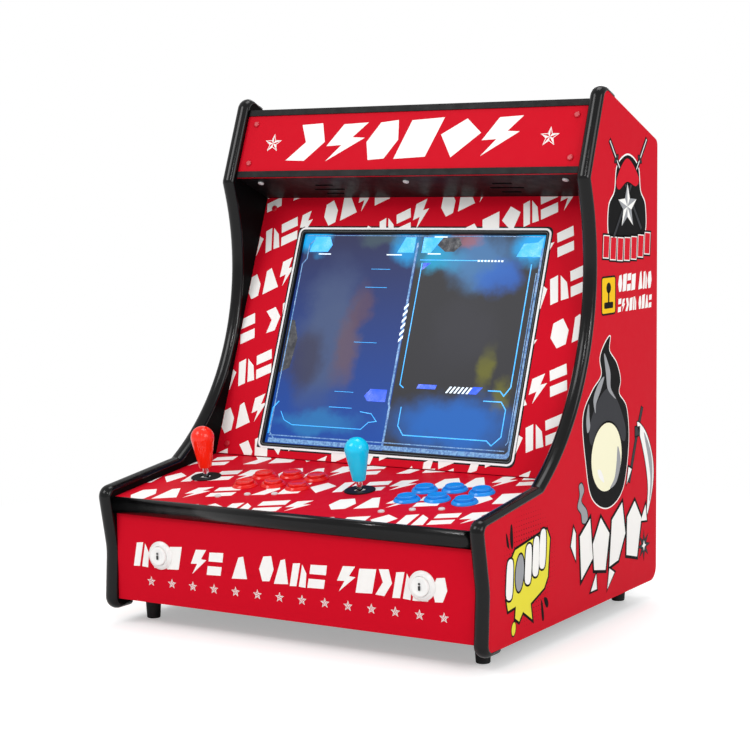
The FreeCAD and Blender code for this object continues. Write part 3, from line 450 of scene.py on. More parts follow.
class CabinetStage(bpy.types.PropertyGroup):
    """The camera's place, its lens and the light level."""

    place: FloatVectorProperty(name="Camera place", description="Where the camera stands", size=3, unit="LENGTH",
                               default=(1.2900, -2.12075, 0.5657))
    azimuth: number("Azimuth", "Turn of the view about the upright axis", 31.55)
    elevation: number("Elevation", "How far the camera looks down", 5.80)
    roll: number("Roll", "Tilt of the picture", -0.657)
    lens: number("Lens", "Focal length on a 36 mm sensor", 91.34)
    sky: number("Sky", "Strength of the even light from all round", 0.62)
    key: number("Key", "Strength of the soft lamps", 1.0)


# ---- pieces and finishes ----------------------------------------------------------------------


def printed(name, code, spread=0.02, extra=None):
    """Screen-printed vinyl under a satin film: flat strong colour with a faint orange peel."""
    return surface(name, code, spread=spread, extra=extra, **FILM)


class CABINET_OT_laminates(bpy.types.Operator):
    """Printed laminate on the outside boards, black laminate on the rest"""

    bl_idname = "cabinet.laminates"
    bl_label = "Laminated boards"

    def execute(self, context):
        sizes = context.scene.cabinet_sizes
        red = "CC0D24"
        # Printed PVC film under a satin overlay, rolled onto board: an even saturated red with a soft sheen.
        film = printed("red_printed_pvc_film", red, spread=0.03)
        film_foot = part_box("right_side_panel")[1].x - 0.6 * MM

        def inside_black(tree, place, tint):
            out = calc(tree, "ABSOLUTE", add(tree, "SeparateXYZ", {"Vector": place}).outputs["X"])
            return mix(tree, calc(tree, "GREATER_THAN", out, film_foot), linear("09090A"), tint)

        # The side boards carry the film outside and black melamine inside.
        sides = printed("red_film_over_black_melamine", red, spread=0.03, extra=inside_black)
        # Melamine-faced fibreboard, pressed with a fine leather texture: dark grey-black, half matt.
        black = surface("black_melamine_board", "101012", 0.42, 1.4, 0.03, spread=0.06, shine=0.14)
        # Planed softwood battens: pale, with long grain.
        wood = surface("planed_softwood", "C9A46E", 0.62, 4.0, 0.08, spread=0.1, stretch=(0.08, 1, 1),
                       second="A87C48")
        dress(["left_side_panel", "right_side_panel"], sides)
        dress(["front_board", "control_board", "bezel_board", "top_board"], film)
        dress(["speaker_board", "base_board", "rear_boards", "back_door"], black)
        dress(["corner_battens"], wood)
        ease(["front_board", "top_board", "rear_boards", "base_board"], sizes.edge_ease)
        return {"FINISHED"}


class CABINET_OT_trims(bpy.types.Operator):
    """Edge moulding, marquee strips, hinges, lock, feet, inlet and screws"""

    bl_idname = "cabinet.trims"
    bl_label = "Trims and fittings"

    def execute(self, context):
        # Extruded PVC edge moulding: jet black and glossy, with long soft highlights.
        moulding = surface("black_extruded_pvc", "070708", 0.16, 1.2, 0.01, spread=0.04, shine=0.3)
        slope = Face("speaker_board", (0, -0.36, -0.93))
        level = slope.origin.dot(slope.out)
        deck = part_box("control_board")[1].z

        def painted_heads(tree, place, tint):
            height = vector(tree, "DOT_PRODUCT", {0: place, 1: slope.out}, "Value")
            gap = calc(tree, "ABSOLUTE", calc(tree, "SUBTRACT", height, level))
            above = calc(tree, "GREATER_THAN", add(tree, "SeparateXYZ", {"Vector": place}).outputs["Z"], deck)
            painted = calc(tree, "MULTIPLY", calc(tree, "GREATER_THAN", gap, 6 * MM), above)
            return mix(tree, painted, tint, linear("B80E22"))

        for names, coating in (
            (["edge_trims"], moulding),
            # Powder-coated aluminium strip: satin black with a fine peel.
            (["marquee_strips"],
             surface("black_powder_coated_aluminium", "0F0F10", 0.38, 0.6, 0.02, spread=0.06, shine=0.14)),
            # Moulded ABS with a spark-eroded texture: matt black.
            (["screen_frame", "dust_washers", "button_nuts", "stick_housings", "stick_gates", "microswitches",
              "mains_inlet", "power_rocker"],
             surface("black_moulded_abs", "0E0E0F", 0.46, 0.7, 0.03, spread=0.05, shine=0.14)),
            # Moulded rubber: dull black with a fine grain.
            (["rubber_feet"], surface("black_moulded_rubber", "111112", 0.75, 0.9, 0.05, spread=0.06, ior=1.52)),
            # Bright zinc plate: cool grey with cloudy spangle.
            (["fixed_hinge_leaves", "door_hinge_leaves", "hinge_pins", "stick_springs"],
             surface("bright_zinc_plate", "C4C6C8", 0.32, 3.0, 0.01, spread=0.08, metal=1.0, second="AEB2B6")),
            # Polished chrome plate: mirror bright.
            (["lock_barrel", "lock_cam", "p1_stick_shaft", "p2_stick_shaft"],
             surface("polished_chrome_plate", "DADCDE", 0.08, 2.0, 0.004, spread=0.02, metal=1.0)),
            # Galvanised sheet: dull grey with large spangle.
            (["display_chassis", "monitor_rails", "power_supply"],
             surface("galvanised_steel_sheet", "B4B8BA", 0.4, 9.0, 0.01, spread=0.08, metal=1.0, second="9DA3A6")),
            # Painted steel basket with a pulp cone: matt black.
            (["speakers"], surface("black_pressed_steel_and_paper", "141414", 0.6, 1.0, 0.05, spread=0.08)),
            # Nylon in its natural cream, satin from the tool.
            (["p1_pivot_collar", "p2_pivot_collar"],
             surface("natural_nylon", "DDDACB", 0.5, 1.0, 0.02, spread=0.05, ior=1.53)),
            # Solder mask over copper tracks: glossy green, lighter over the tracks.
            (["game_board"],
             surface("green_solder_mask", "0C5A2A", 0.3, 2.2, 0.03, spread=0.08, second="1A7A3C", coat=0.4)),
            # Frosted polycarbonate: even off-white.
            (["marquee_lamp"], surface("frosted_lamp_cover", "F2F2EA", 0.5, 0.8, 0.01, spread=0.02)),
            # Zinc screws whose heads on the printed panels are painted to match; those under the hood stay bright.
            (["panel_screws"],
             surface("part_painted_zinc_screws", "D8D8D8", 0.3, 1.0, 0.01, spread=0.05, extra=painted_heads)),
        ):
            dress(names, coating)
        ease(["marquee_strips", "power_supply", "display_chassis", "power_rocker"], 0.3)
        # The control panel's front edge: a half-round nosing of the same extrusion, from side board to side board.
        face = Face("control_board", DECK)
        turns = [math.pi * k / 16 for k in range(17)]
        profile = [(-1.5 - 6.2 * math.sin(a), -10.5 + 11 * math.cos(a)) for a in turns]
        extrude("front_nosing", face, profile, 0.2 - HALF, HALF - 0.2, moulding)
        for side in ("left", "right"):
            nosing(side, moulding)
        # Bright perforated liner seen through the speaker slots.
        liner = surface("pale_speaker_mesh", "C9CACC", 0.5, 1.2, 0.05, spread=0.1, shine=0.3)
        slots = [rounded(u - long / 2, v - 2.3, u + long / 2, v + 2.3, 2.2, 4)
                 for u in (-137.3, 137.3) for v, long in ((17, 29), (32.6, 49.5), (48.2, 29))]
        piece("speaker_slot_liner", slope, slots, liner, -2.5, -1.2)
        return {"FINISHED"}


class CABINET_OT_controls(bpy.types.Operator):
    """Push buttons, start buttons and bat tops"""

    bl_idname = "cabinet.controls"
    bl_label = "Buttons and sticks"

    def execute(self, context):
        # Injection-moulded ABS from a polished tool: deep colour, sharp highlights, faint sink marks.
        for names, name, code, rough, grain in (
            (["p1_button_housings"] + [f"p1_button_{i}" for i in range(1, 7)], "red_gloss_abs", "E3140F", 0.16, 2.5),
            (["p2_button_housings"] + [f"p2_button_{i}" for i in range(1, 7)], "blue_gloss_abs", "0C8CEB", 0.16, 2.5),
            (["start_button_housings", "start_button_1", "start_button_2"], "white_gloss_abs", "F4F4F2", 0.18, 2.5),
            (["p1_bat_top"], "red_gloss_bat_top", "FF2A14", 0.14, 3.0),
            (["p2_bat_top"], "cyan_gloss_bat_top", "00D0FA", 0.14, 3.0),
        ):
            dress(names, surface(name, code, rough, grain, 0.01, ior=1.53, shine=0.4, spread=0.04))
        # Pad-printed ink: flat near-black, half matt.
        ink = surface("black_pad_print", "1C1C1E", 0.4, 0.6, 0.01, spread=0.02)
        for number in (1, 2):
            name = f"start_button_{number}"
            face = Face(name, (0, -1, 0), from_edge=False)
            low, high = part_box(name)
            u, v = (low.x + high.x) / 2 / MM, (low.z + high.z) / 2 / MM
            marks = [oval(u, v + 3.4, 1.5, 1.5, steps=14), rounded(u - 1.5, v - 4.4, u + 1.5, v + 1.2, 0.8, 3)]
            piece(f"start_mark_{number}", face, marks, ink, high=0.12, body=name)
        return {"FINISHED"}


def climbing_rows(sizes, scale, first, count, windows, seed):
    """Rows of blocks that climb across a panel, cut to its windows. first is where one row starts, count how many
    rows lie above and below it."""
    word = ["gem", "wedge", "bolt", "rungs", " ", "arrow", "slab", "kite", "split", "rungs", "bolt", " "]
    turn = math.radians(sizes.row_rise)
    shapes = []
    for k in range(-count, count):
        row, long = blocks(word, 25 * scale, sizes.block_high * scale, 3.2 * scale, seed=seed + k)
        for step in range(-2, 4):
            along = step * long + (k % 3) * long * 0.37
            u = first[0] + along * math.cos(turn)
            v = first[1] + (k * sizes.row_pitch - sizes.block_high / 2) * scale + along * math.sin(turn)
            for shape in placed(row, u, v, sizes.row_rise, 10):
                shapes += [cut(shape, window) for window in windows]
    return [shape for shape in shapes if shape]


class CABINET_OT_deck_print(bpy.types.Operator):
    """Climbing rows of white blocks on the control panel"""

    bl_idname = "cabinet.deck_print"
    bl_label = "Control panel print"

    def execute(self, context):
        sizes = context.scene.cabinet_sizes
        white = printed("white_printed_vinyl", "F6F5F2")
        face = Face("control_board", DECK)
        window = (MARGIN - HALF, MARGIN, HALF - MARGIN, face.run - MARGIN)
        shapes = climbing_rows(sizes, sizes.deck_scale, (-240, 14), 6, [window], 11)
        piece("control_panel_print", face, shapes, white)
        return {"FINISHED"}


class CABINET_OT_bezel_print(bpy.types.Operator):
    """Climbing rows of white blocks around the screen"""

    bl_idname = "cabinet.bezel_print"
    bl_label = "Bezel print"

    def execute(self, context):
        sizes = context.scene.cabinet_sizes
        white = printed("white_printed_vinyl", "F6F5F2")
        face = Face("bezel_board", LEANING)
        low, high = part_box("screen_frame")
        lift = [(Vector((0, c.y, c.z)) - face.origin).dot(face.along) / MM for c in (low, high)]
        side, edge, top = high.x / MM - 1, HALF - MARGIN, face.run - MARGIN
        windows = [(-edge, MARGIN, -side, top), (side, MARGIN, edge, top), (-side, MARGIN, side, lift[0] + 4),
                   (-side, lift[1] - 4, side, top)]
        shapes = climbing_rows(sizes, 1.0, (-261, 238), 9, windows, 31)
        piece("bezel_print", face, shapes, white)
        return {"FINISHED"}


def fitted(names, wide, high, gap, length, rise=0.0, seed=1):
    """A row of blocks stretched to a length."""
    row, long = blocks(names, wide, high, gap, rise, seed)
    return [[(x * length / long, y) for x, y in shape] for shape in row]


def nautical(u, v, radius, line):
    """A star drawn in lines, one half of each arm filled."""
    ring = star(u, v, radius, radius * 0.4)
    made = stroke(ring, line, closed=True)
    for k in range(0, 10, 2):
        made.append([(u, v), ring[k], ring[k + 1]])
    return made


class CABINET_OT_front_print(bpy.types.Operator):
    """The band of blocks and the row of stars on the front"""

    bl_idname = "cabinet.front_print"
    bl_label = "Front print"

    def execute(self, context):
        sizes = context.scene.cabinet_sizes
        white = printed("white_printed_vinyl", "F6F5F2")
        face = Face("front_board", (0, -1, 0))
        band = ["split", "gem", "slab", " ", "bolt", "rungs", " ", "wedge", " ", "gem", "wedge", "split", "rungs",
                " ", "bolt", "slab", "arrow", "split", "rungs", "gem"]
        shapes = placed(fitted(band, 22, 31, 2.6, 462, rise=1.2, seed=5), -236, 45, 0, 8)
        for k in range(sizes.star_count):
            shapes += nautical(33 * k - 208, 28, sizes.star_wide, 0.7)
        piece("front_print", face, shapes, white)
        return {"FINISHED"}


class CABINET_OT_marquee(bpy.types.Operator):
    """The hood panel, its blocks and two stars"""

    bl_idname = "cabinet.marquee"
    bl_label = "Marquee panel"

    def execute(self, context):
        # Cast acrylic with print on its back and a non-glare face: even red.
        acrylic = surface("red_back_printed_acrylic", "C80C22", 0.4, 2.0, 0.01, spread=0.03, ior=1.49, shine=0.04)
        white = printed("white_printed_vinyl", "F6F5F2")
        dress(["marquee_panel"], acrylic)
        face = Face("marquee_panel", LEANING)
        row = fitted(["arrow", "bolt", "gem", "slab", "kite", "bolt"], 52, 54, 5.5, 350, rise=2, seed=3)
        shapes = placed(row, -186, 24, 0, 16)
        for u in (-212, 212):
            shapes += nautical(u, 50, 13, 1.0)
        piece("marquee_print", face, shapes, white)
        return {"FINISHED"}


def lit_picture(high):
    """The screen's glowing blue haze. Its map gives u from the middle and v up from the picture's foot."""
    made, tree = blank("lit_display_picture")
    # Back-lit liquid crystal panel behind a satin polariser: glowing blue haze under a faint surface sheen.
    uv = add(tree, "UVMap", uv_map="picture").outputs["UV"]
    wobble = add(tree, "TexNoise", {"Vector": uv, "Scale": 1 / (45 * MM), "Detail": 4.0, "Roughness": 0.55})
    shift = vector(tree, "SUBTRACT", {0: wobble.outputs["Color"], 1: (0.5, 0.5, 0.5)})
    place = vector(tree, "ADD", {0: uv, 1: vector(tree, "SCALE", {0: shift, "Scale": 50 * MM})})
    parts = add(tree, "SeparateXYZ", {"Vector": uv})
    up = add(tree, "MapRange", {"Value": parts.outputs["Y"], "From Max": high * MM})
    left = mix(tree, up.outputs["Result"], linear("1450B0"), linear("23264F"))
    tint = mix(tree, calc(tree, "GREATER_THAN", parts.outputs["X"], -1 * MM), left, linear("333336"))
    # Clouds of light: middle, half width and half height in mm, colour, strength.
    clouds = (
        (-120, 150, 60, 120, "4C5E86", 0.9), (-150, 120, 36, 50, "3A3448", 0.7), (-85, 140, 26, 60, "6B5566", 0.8),
        (-75, 200, 20, 40, "6A4A55", 0.6), (-170, 292, 28, 26, "12B4FF", 1.0), (-20, 285, 30, 26, "12A6F0", 0.9),
        (30, 285, 24, 24, "12A6F0", 0.9), (170, 285, 34, 28, "12B4FF", 1.0), (40, 262, 50, 22, "10B0E0", 0.9),
        (95, 268, 60, 50, "4F86BE", 0.9), (130, 245, 40, 30, "2A6CD0", 0.8), (70, 296, 28, 14, "B06A70", 0.7),
        (95, 42, 110, 46, "1F6CC8", 1.0), (130, 120, 18, 40, "77761E", 0.8), (160, 80, 14, 26, "77761E", 0.7),
        (90, 170, 60, 60, "3A3A40", 0.8), (50, 130, 40, 40, "343438", 0.6), (-60, 296, 40, 16, "4F6A6A", 0.5),
        (-110, 34, 80, 18, "2A86C8", 0.7),
    )
    for u, v, ru, rv, code, most in clouds:
        offset = vector(tree, "SUBTRACT", {0: place, 1: (u * MM, v * MM, 0)})
        scaled = vector(tree, "DIVIDE", {0: offset, 1: (ru * MM, rv * MM, 1)})
        reach = vector(tree, "LENGTH", {0: scaled}, "Value")
        fade = add(tree, "MapRange", {"Value": reach, "From Min": 0.35, "From Max": 1.15, "To Min": most,
                                      "To Max": 0.0}, interpolation_type="SMOOTHSTEP")
        tint = mix(tree, fade.outputs["Result"], tint, linear(code))
    glass = add(tree, "BsdfPrincipled", {"Base Color": (0.004, 0.004, 0.006, 1), "Roughness": 0.3, "IOR": 1.5,
                                        "Specular IOR Level": 0.12, "Emission Color": tint,
                                        "Emission Strength": 0.9})
    add(tree, "OutputMaterial", {"Surface": glass.outputs["BSDF"]})
    return made


class CABINET_OT_screen(bpy.types.Operator):
    """The lit picture, its frame lines and the surround's white line"""

    bl_idname = "cabinet.screen"
    bl_label = "Screen picture"

    def execute(self, context):
        surround = Face("screen_frame", LEANING)
        line = printed("white_surround_line", "F2F3F4")
        grey = printed("grey_surround_line", "5E6468")
        run, half = surround.run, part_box("screen_frame")[1].x / MM
        for name, inset, radius, wide, paint in (("surround_white_line", 3.4, 8, 2.8, line),
                                                 ("surround_grey_line", 7.4, 4, 0.9, grey)):
            ring = rounded(inset - half, inset, half - inset, run - inset, radius)
            piece(name, surround, stroke(ring, wide, True), paint)

        face = Face("display_panel", LEANING)
        wide, foot, high = 190.5, 4, face.run - 2
        picture = piece("screen_picture", face, [box(-wide, 2, wide, high)], lit_picture(high), high=0.2)
        layer = picture.data.uv_layers.new(name="picture")
        for loop in picture.data.loops:
            point = picture.data.vertices[loop.vertex_index].co
            layer.data[loop.index].uv = (point.x, (point - face.origin).dot(face.along) - foot * MM)

        def lit(name, code, rough=0.3, glow=0.8, spread=0.2, patches=30, second=None, grain=2.0):
            return surface(name, code, rough, grain, 0.002, glow=glow, spread=spread, patches=patches, second=second)

        def show(name, shapes, paint, high):
            piece(name, face, placed(shapes, 0, foot), paint, 0.2, high)

        bright = lit("lit_cyan_lines", "2EA6F5", spread=0.15)
        steel = lit("lit_blue_steel_lines", "6FA0CE", glow=0.5, spread=0.3, patches=25, second="3C64A0", grain=3.0)
        deep = lit("lit_deep_blue_panels", "1D4FD8")
        pale = lit("lit_pale_marks", "D5E6F5", glow=0.7, spread=0.1)
        dim = lit("dark_screen_panels", "24262E", 0.35, 0.5, patches=40)

        bars = []
        for wide, line in (
            (6.0, [(-184, 5), (181, 5), (186, 11), (186, 284)]),
            (1.4, [(-184, 12), (178, 12)]),
            (3.0, [(-2, 8), (-2, 60), (-4, 66), (-4, 290)]),
            (1.6, [(-176, 8), (-184, 16), (-184, 258), (-178, 266), (-178, 286), (-170, 294)]),
            (1.2, [(178, 20), (181, 24), (181, 250)]),
            (1.0, [(-184, 300), (184, 300)]),
        ):
            bars += stroke(line, wide)
        show("screen_steel_lines", bars, steel, 0.3)
        lines = []
        for wide, line in (
            (1.4, [(8, 262), (8, 92), (14, 88)]),
            (1.6, [(172, 262), (172, 96), (164, 84), (158, 90), (140, 90)]),
            (1.2, [(4, 266), (110, 266)]),
            (1.4, [(16, 62), (16, 36), (26, 24), (150, 24), (158, 18), (170, 30), (170, 66), (162, 76), (136, 76)]),
            (1.0, [(-172, 46), (-164, 34), (-150, 28), (-40, 28), (-30, 38), (-18, 40), (-28, 50), (-46, 52)]),
            (1.6, [(-186, 14), (-186, 50), (-178, 60)]),
            (0.8, [(-96, 56), (-60, 56)]),
            (0.6, [(-70, 252), (-40, 252)]),
            (0.6, [(-74, 226), (-40, 226)]),
            (0.6, [(-76, 148), (-40, 148)]),
            (0.6, [(-92, 78), (-62, 78)]),
        ):
            lines += stroke(line, wide)
        show("screen_cyan_lines", lines, bright, 0.34)
        show("screen_bright_panels", [
            [(-176, 276), (-146, 276), (-140, 286), (-146, 298), (-170, 298)],
            [(-34, 276), (-8, 276), (-8, 298), (-24, 298)],
            [(4, 276), (18, 276), (34, 298), (4, 298)],
            [(148, 272), (184, 272), (184, 300), (176, 292), (156, 290)],
        ], bright, 0.3)
        show("screen_tags", [
            [(-44, 74), (-38, 67), (-10, 67), (-10, 84), (-36, 84)],
            [(34, 88), (62, 88), (64, 94), (36, 94)],
            [(112, 84), (124, 84), (132, 94), (118, 94)],
            [(10, 252), (22, 262), (10, 262)],
        ], deep, 0.34)
        ticks = [box(92 + 5 * k, 264.5, 95 + 5 * k, 267) for k in range(8)]
        ticks += [[(78 + 6 * k, 84), (81 + 6 * k, 84), (87 + 6 * k, 93), (84 + 6 * k, 93)] for k in range(6)]
        ticks += [[(-7, 150 + 9 * k), (-1, 156 + 9 * k), (-1, 160 + 9 * k), (-7, 154 + 9 * k)] for k in range(6)]
        ticks += [box(u, v, u + long, v + 1.6) for u, v, long in ((-160, 272, 20), (-50, 272, 24), (14, 274, 20),
                                                                  (20, 298, 20))]
        show("screen_ticks", ticks, pale, 0.36)
        show("screen_dim_panels", [
            [(40, 278), (26, 288), (34, 298), (58, 298), (64, 288), (54, 278)],
            [(-188, 100), (-172, 108), (-168, 150), (-178, 176), (-188, 176)],
        ], dim, 0.28)
        return {"FINISHED"}


class Art:
    """Printed shapes of a side board, sorted by level and colour. Places are mm along Y and Z of the frame."""

    def __init__(self):
        self.layers = {}

    def ink(self, level, colour, shapes, border=0):
        """Adds shapes, and with a border the same shapes in black behind them, wider by that much."""
        self.layers.setdefault((level, colour), []).extend(shapes)
        if border:
            self.layers.setdefault((level - 1, "black"), []).extend(grown(s, border) for s in shapes)


def emblem(ink):
    """Two crossed batons behind a shield with a star, and a curved band of blocks below."""
    for tip, heel in (((97, 614), (196, 500)), ((212, 617), (104, 486))):
        ink(2, "slate", stroke([heel, tip], 5), 1.6)
        ink(3, "white", stroke([(heel[0] * 0.3 + tip[0] * 0.7, heel[1] * 0.3 + tip[1] * 0.7), tip], 1.6))
        guard = (tip[0] * 0.8 + heel[0] * 0.2, tip[1] * 0.8 + heel[1] * 0.2)
        ink(3, "slate", [oval(guard[0], guard[1], 7, 2.6, 40 if tip[0] < 150 else -40)], 1.2)
    shield = smooth([(152, 596), (184, 582), (192, 550), (208, 530), (204, 490), (150, 476), (98, 490), (94, 530),
                     (112, 550), (120, 582)])
    ink(0, "white", [grown(shield, 2.2)])
    ink(1, "black", [shield])
    ink(3, "red", [smooth([(118, 566), (150, 592), (186, 568), (178, 556), (150, 562), (124, 552)])], 1.5)
    middle = (151, 530)
    ring = star(*middle, 30, 13)
    ink(3, "white", [ring], 1.5)
    ink(4, "grey", [[middle, ring[k], ring[k + 1]] for k in range(0, 10, 2)])
    for k in range(7):
        u = 77 + 21.5 * k
        sag = 8 * ((u - 141) / 77) ** 2
        base, tall = 462 + sag, 27 - sag * 0.2
        slab = [(u, base), (u + 16, base - 1), (u + 18.5, base + tall), (u + 2, base + tall + 1)]
        ink(3, "red", [slab])
        ink(2, "white", [grown(slab, 1.3)], 2.2)


def badge(ink):
    """A gold badge with a stick and ball, and two lines of small blocks beside it."""
    ink(2, "gold", [rounded(74, 396, 113, 441, 3)], 2.4)
    ink(3, "black", [oval(93.5, 428, 7, 7), box(91.5, 409, 95.5, 424), rounded(80, 402, 107, 410, 2, 3)])
    for names, base, high, wide, seed in (
        (["gem", "slab", "rungs", "slab", " ", "wedge", "split", "gem"], 421, 23, 12.6, 7),
        (["rungs", "bolt", "arrow", "slab", "split", " ", "gem", "slab", "wedge", "rungs"], 395, 18, 9.6, 9),
    ):
        ink(1, "white", placed(fitted(names, wide, high, 1.8, 109, seed=seed), 122, base, 0, 5))


def fireball(ink):
    """A ball of fire: tall black flames with grey wisps round a pale ball."""
    flame = smooth([(98, 366), (96, 348), (118, 330), (130, 308), (126, 290), (150, 268), (156, 220), (138, 164),
                    (92, 146), (44, 166), (26, 214), (18, 270), (44, 300), (72, 318), (68, 340), (80, 356)], 8)
    ink(0, "white", [grown(flame, 1.6)])
    ink(1, "black", [flame])
    ink(2, "slate", [smooth([(92, 300), (122, 280), (146, 244), (140, 226), (96, 256), (46, 232), (36, 254),
                             (58, 284)])])
    for wisp in ([(80, 346), (98, 322), (100, 300), (116, 284), (92, 298), (86, 318)],
                 [(80, 316), (70, 300), (56, 284), (54, 272), (48, 290), (62, 308)],
                 [(34, 286), (27, 268), (30, 250), (38, 256), (36, 270)]):
        ink(3, "grey", [smooth(wisp)])
    ink(3, "cream", [oval(88, 212, 46, 44, 0, 36)], 2.4)
    ink(4, "white", [smooth([(60, 198), (66, 188), (80, 180), (76, 190), (68, 198)])])
    ink(4, "grey", [smooth([(122, 222), (131, 200), (118, 176), (98, 170), (112, 182), (118, 200)])])


def crescent(ink):
    """A crescent with its handle, and a puff of smoke on the other side of the fireball."""
    ink(3, "white", [smooth([(184, 246), (214, 228), (236, 190), (236, 154), (216, 116), (220, 152), (213, 184),
                             (200, 214)])], 1.6)
    ink(4, "grey", [smooth([(206, 230), (226, 206), (234, 182), (232, 152), (224, 134), (228, 164),
                            (220, 194)])])
    ink(2, "slate", stroke([(200, 264), (184, 232), (158, 170)], 6), 1.2)
    ink(3, "slate", [box(177, 228, 193, 240)], 1.6)
    ink(3, "grey", [smooth([(6, 186), (14, 188), (20, 178), (12, 166), (28, 152), (30, 138), (16, 138),
                            (12, 150), (2, 160), (8, 174)])], 1.6)


def shards(ink):
    """Four big shards that stand as one burst, loose splinters and a sparkle."""
    ink(5, "white", [
        [(12, 66), (46, 88), (38, 140), (8, 122)],
        [(50, 72), (84, 66), (96, 112), (70, 136), (46, 106)],
        [(96, 68), (124, 72), (146, 104), (136, 146), (104, 128)],
        [(150, 74), (184, 66), (198, 116), (176, 142), (152, 124)],
    ], 4)
    ink(5, "white", [
        [(-18, 114), (-4, 94), (-4, 128), (-10, 136)],
        [(40, 46), (58, 46), (56, 66)],
        [(90, 40), (112, 58), (96, 66)],
        [(150, 168), (166, 186), (156, 190)],
        [(196, 112), (216, 110), (212, 132)],
    ], 2.6)
    ink(3, "slate", [star(207, 77, 20, 7, 8, 90)], 1.0)
    ink(4, "white", [star(207, 77, 7, 3, 4, 90)])


def bubble(ink):
    """A speech bubble with tilted blocks, halftone dots round it, dashes and a drop."""
    ink(2, "yellow", [[(-167, 135), (-84, 146), (-76, 134), (-82, 88), (-92, 76), (-128, 64), (-124, 44),
                       (-148, 58), (-158, 48), (-168, 54), (-166, 68), (-186, 66), (-190, 80), (-184, 100),
                       (-178, 124)]], 3.2)
    for u, v in ((-190, 82), (-142, 92), (-122, 98), (-104, 104)):
        block = [(u, v), (u + 13, v - 2), (u + 17, v + 22), (u + 16, v + 42), (u + 4, v + 42), (u, v + 20)]
        ink(4, "white", [smooth(block, 4)], 2.6)
    ink(4, "grey", [oval(-156, 106, 10.5, 22, -8)], 2.4)
    dots = []
    for i in range(24):
        for j in range(26):
            u, v = -200 + 6.2 * i, 40 + 5.8 * j
            off = math.hypot((u + 132) / 74, (v - 108) / 76)
            size = 1.7 * (1.12 - off)
            if size > 0.25 and off > 0.35:
                dots.append(oval(u, v, size, size, 0, 8))
    ink(0, "black", dots)
    ink(1, "black", [smooth(dash) for dash in (
        [(-178, 166), (-174, 164), (-172, 142), (-176, 138), (-180, 150)],
        [(-190, 158), (-186, 154), (-182, 140), (-188, 144)],
        [(-100, 62), (-96, 58), (-92, 40), (-96, 36), (-99, 46)],
        [(-92, 64), (-84, 62), (-80, 54), (-84, 50), (-90, 56)],
    )])
    ink(2, "yellow", [oval(-172, 42, 5, 8, -12)], 1.6)


class CABINET_OT_side_print(bpy.types.Operator):
    """Emblem, badge, fireball, crescent, shards and bubble on both sides"""

    bl_idname = "cabinet.side_print"
    bl_label = "Side print"

    def execute(self, context):
        inks = {}
        for colour, code in (("black", "0B0B0D"), ("white", "F6F5F2"), ("yellow", "E8DE42"), ("gold", "F2C21A"),
                             ("cream", "F7F4D4"), ("grey", "9C9EA2"), ("slate", "3A3B3F"), ("red", "D21128")):
            inks[colour] = printed(f"{colour}_printed_vinyl", code)
        art = Art()
        for motif in (emblem, badge, fireball, crescent, shards, bubble):
            motif(art.ink)
        for side, sign in (("right", 1), ("left", -1)):
            face = Face(f"{side}_side_panel", (sign, 0, 0), across=(0, 1, 0), from_edge=False)
            for (level, colour), shapes in sorted(art.layers.items()):
                low = level * LAYER
                piece(f"{side}_print_{colour}_{level}", face, shapes, inks[colour], low, low + INK)
        return {"FINISHED"}


def blended(tree, factor, first, second):
    """Two shaders mixed by a factor."""
    return add(tree, "MixShader", {0: factor, 1: first, 2: second}).outputs["Shader"]


def even_sky(world, strength):
    """Even white light from all round, seen by the camera as plain white."""
    world.use_nodes = True
    tree = world.node_tree
    tree.nodes.clear()
    path = add(tree, "LightPath").outputs
    seen = calc(tree, "MAXIMUM", path["Is Camera Ray"], path["Is Transmission Ray"])
    even, plain = (add(tree, "Background", {"Color": linear("FFFFFF"), "Strength": level}).outputs["Background"]
                   for level in (strength, 1.0))
    add(tree, "OutputWorld", {"Surface": blended(tree, seen, even, plain)})


def paper_floor(near=1.5, far=30):
    """A round pale floor that fades into the white backdrop away from the cabinet, with its two radii in metres."""
    made, tree = blank("pale_paper_floor")
    place = add(tree, "TexCoord").outputs["Object"]
    reach = vector(tree, "LENGTH", {0: place}, "Value")
    away = add(tree, "MapRange", {"Value": reach, "From Min": 0.5, "From Max": 1.1}).outputs["Result"]
    # Uncoated paper: off-white, matt, with a faint fibre.
    fibre = add(tree, "TexNoise", {"Vector": place, "Scale": 900.0, "Detail": 2.0})
    bump = add(tree, "Bump", {"Strength": 0.05, "Distance": 0.0002, "Height": fibre.outputs["Fac"]})
    paper = add(tree, "BsdfPrincipled", {"Base Color": (0.82, 0.82, 0.82, 1), "Roughness": 0.9,
                                        "Normal": bump.outputs["Normal"], "Specular IOR Level": 0.1})
    lift = calc(tree, "MULTIPLY", add(tree, "LightPath").outputs["Is Camera Ray"], 0.36)
    glow = add(tree, "Emission", {"Color": (1, 1, 1, 1), "Strength": lift})
    ground = add(tree, "AddShader", {0: paper.outputs["BSDF"], 1: glow.outputs["Emission"]})
    plain = add(tree, "Emission", {"Color": (1, 1, 1, 1), "Strength": 1.0})
    both = blended(tree, away, ground.outputs["Shader"], plain.outputs["Emission"])
    add(tree, "OutputMaterial", {"Surface": both})
    mesh = bpy.data.meshes.new("floor")
    bm = bmesh.new()
    steps = 48
    ring = oval(0, 0, 1, 1, steps=steps)
    inner, outer = ([bm.verts.new((r * x, r * y, -0.0004)) for x, y in ring] for r in (near, far))
    bm.faces.new(inner)
    for i in range(steps):
        j = (i + 1) % steps
        bm.faces.new((inner[i], outer[i], outer[j], inner[j]))
    bm.to_mesh(mesh)
    bm.free()
    mesh.materials.append(made)
    link("floor", mesh)


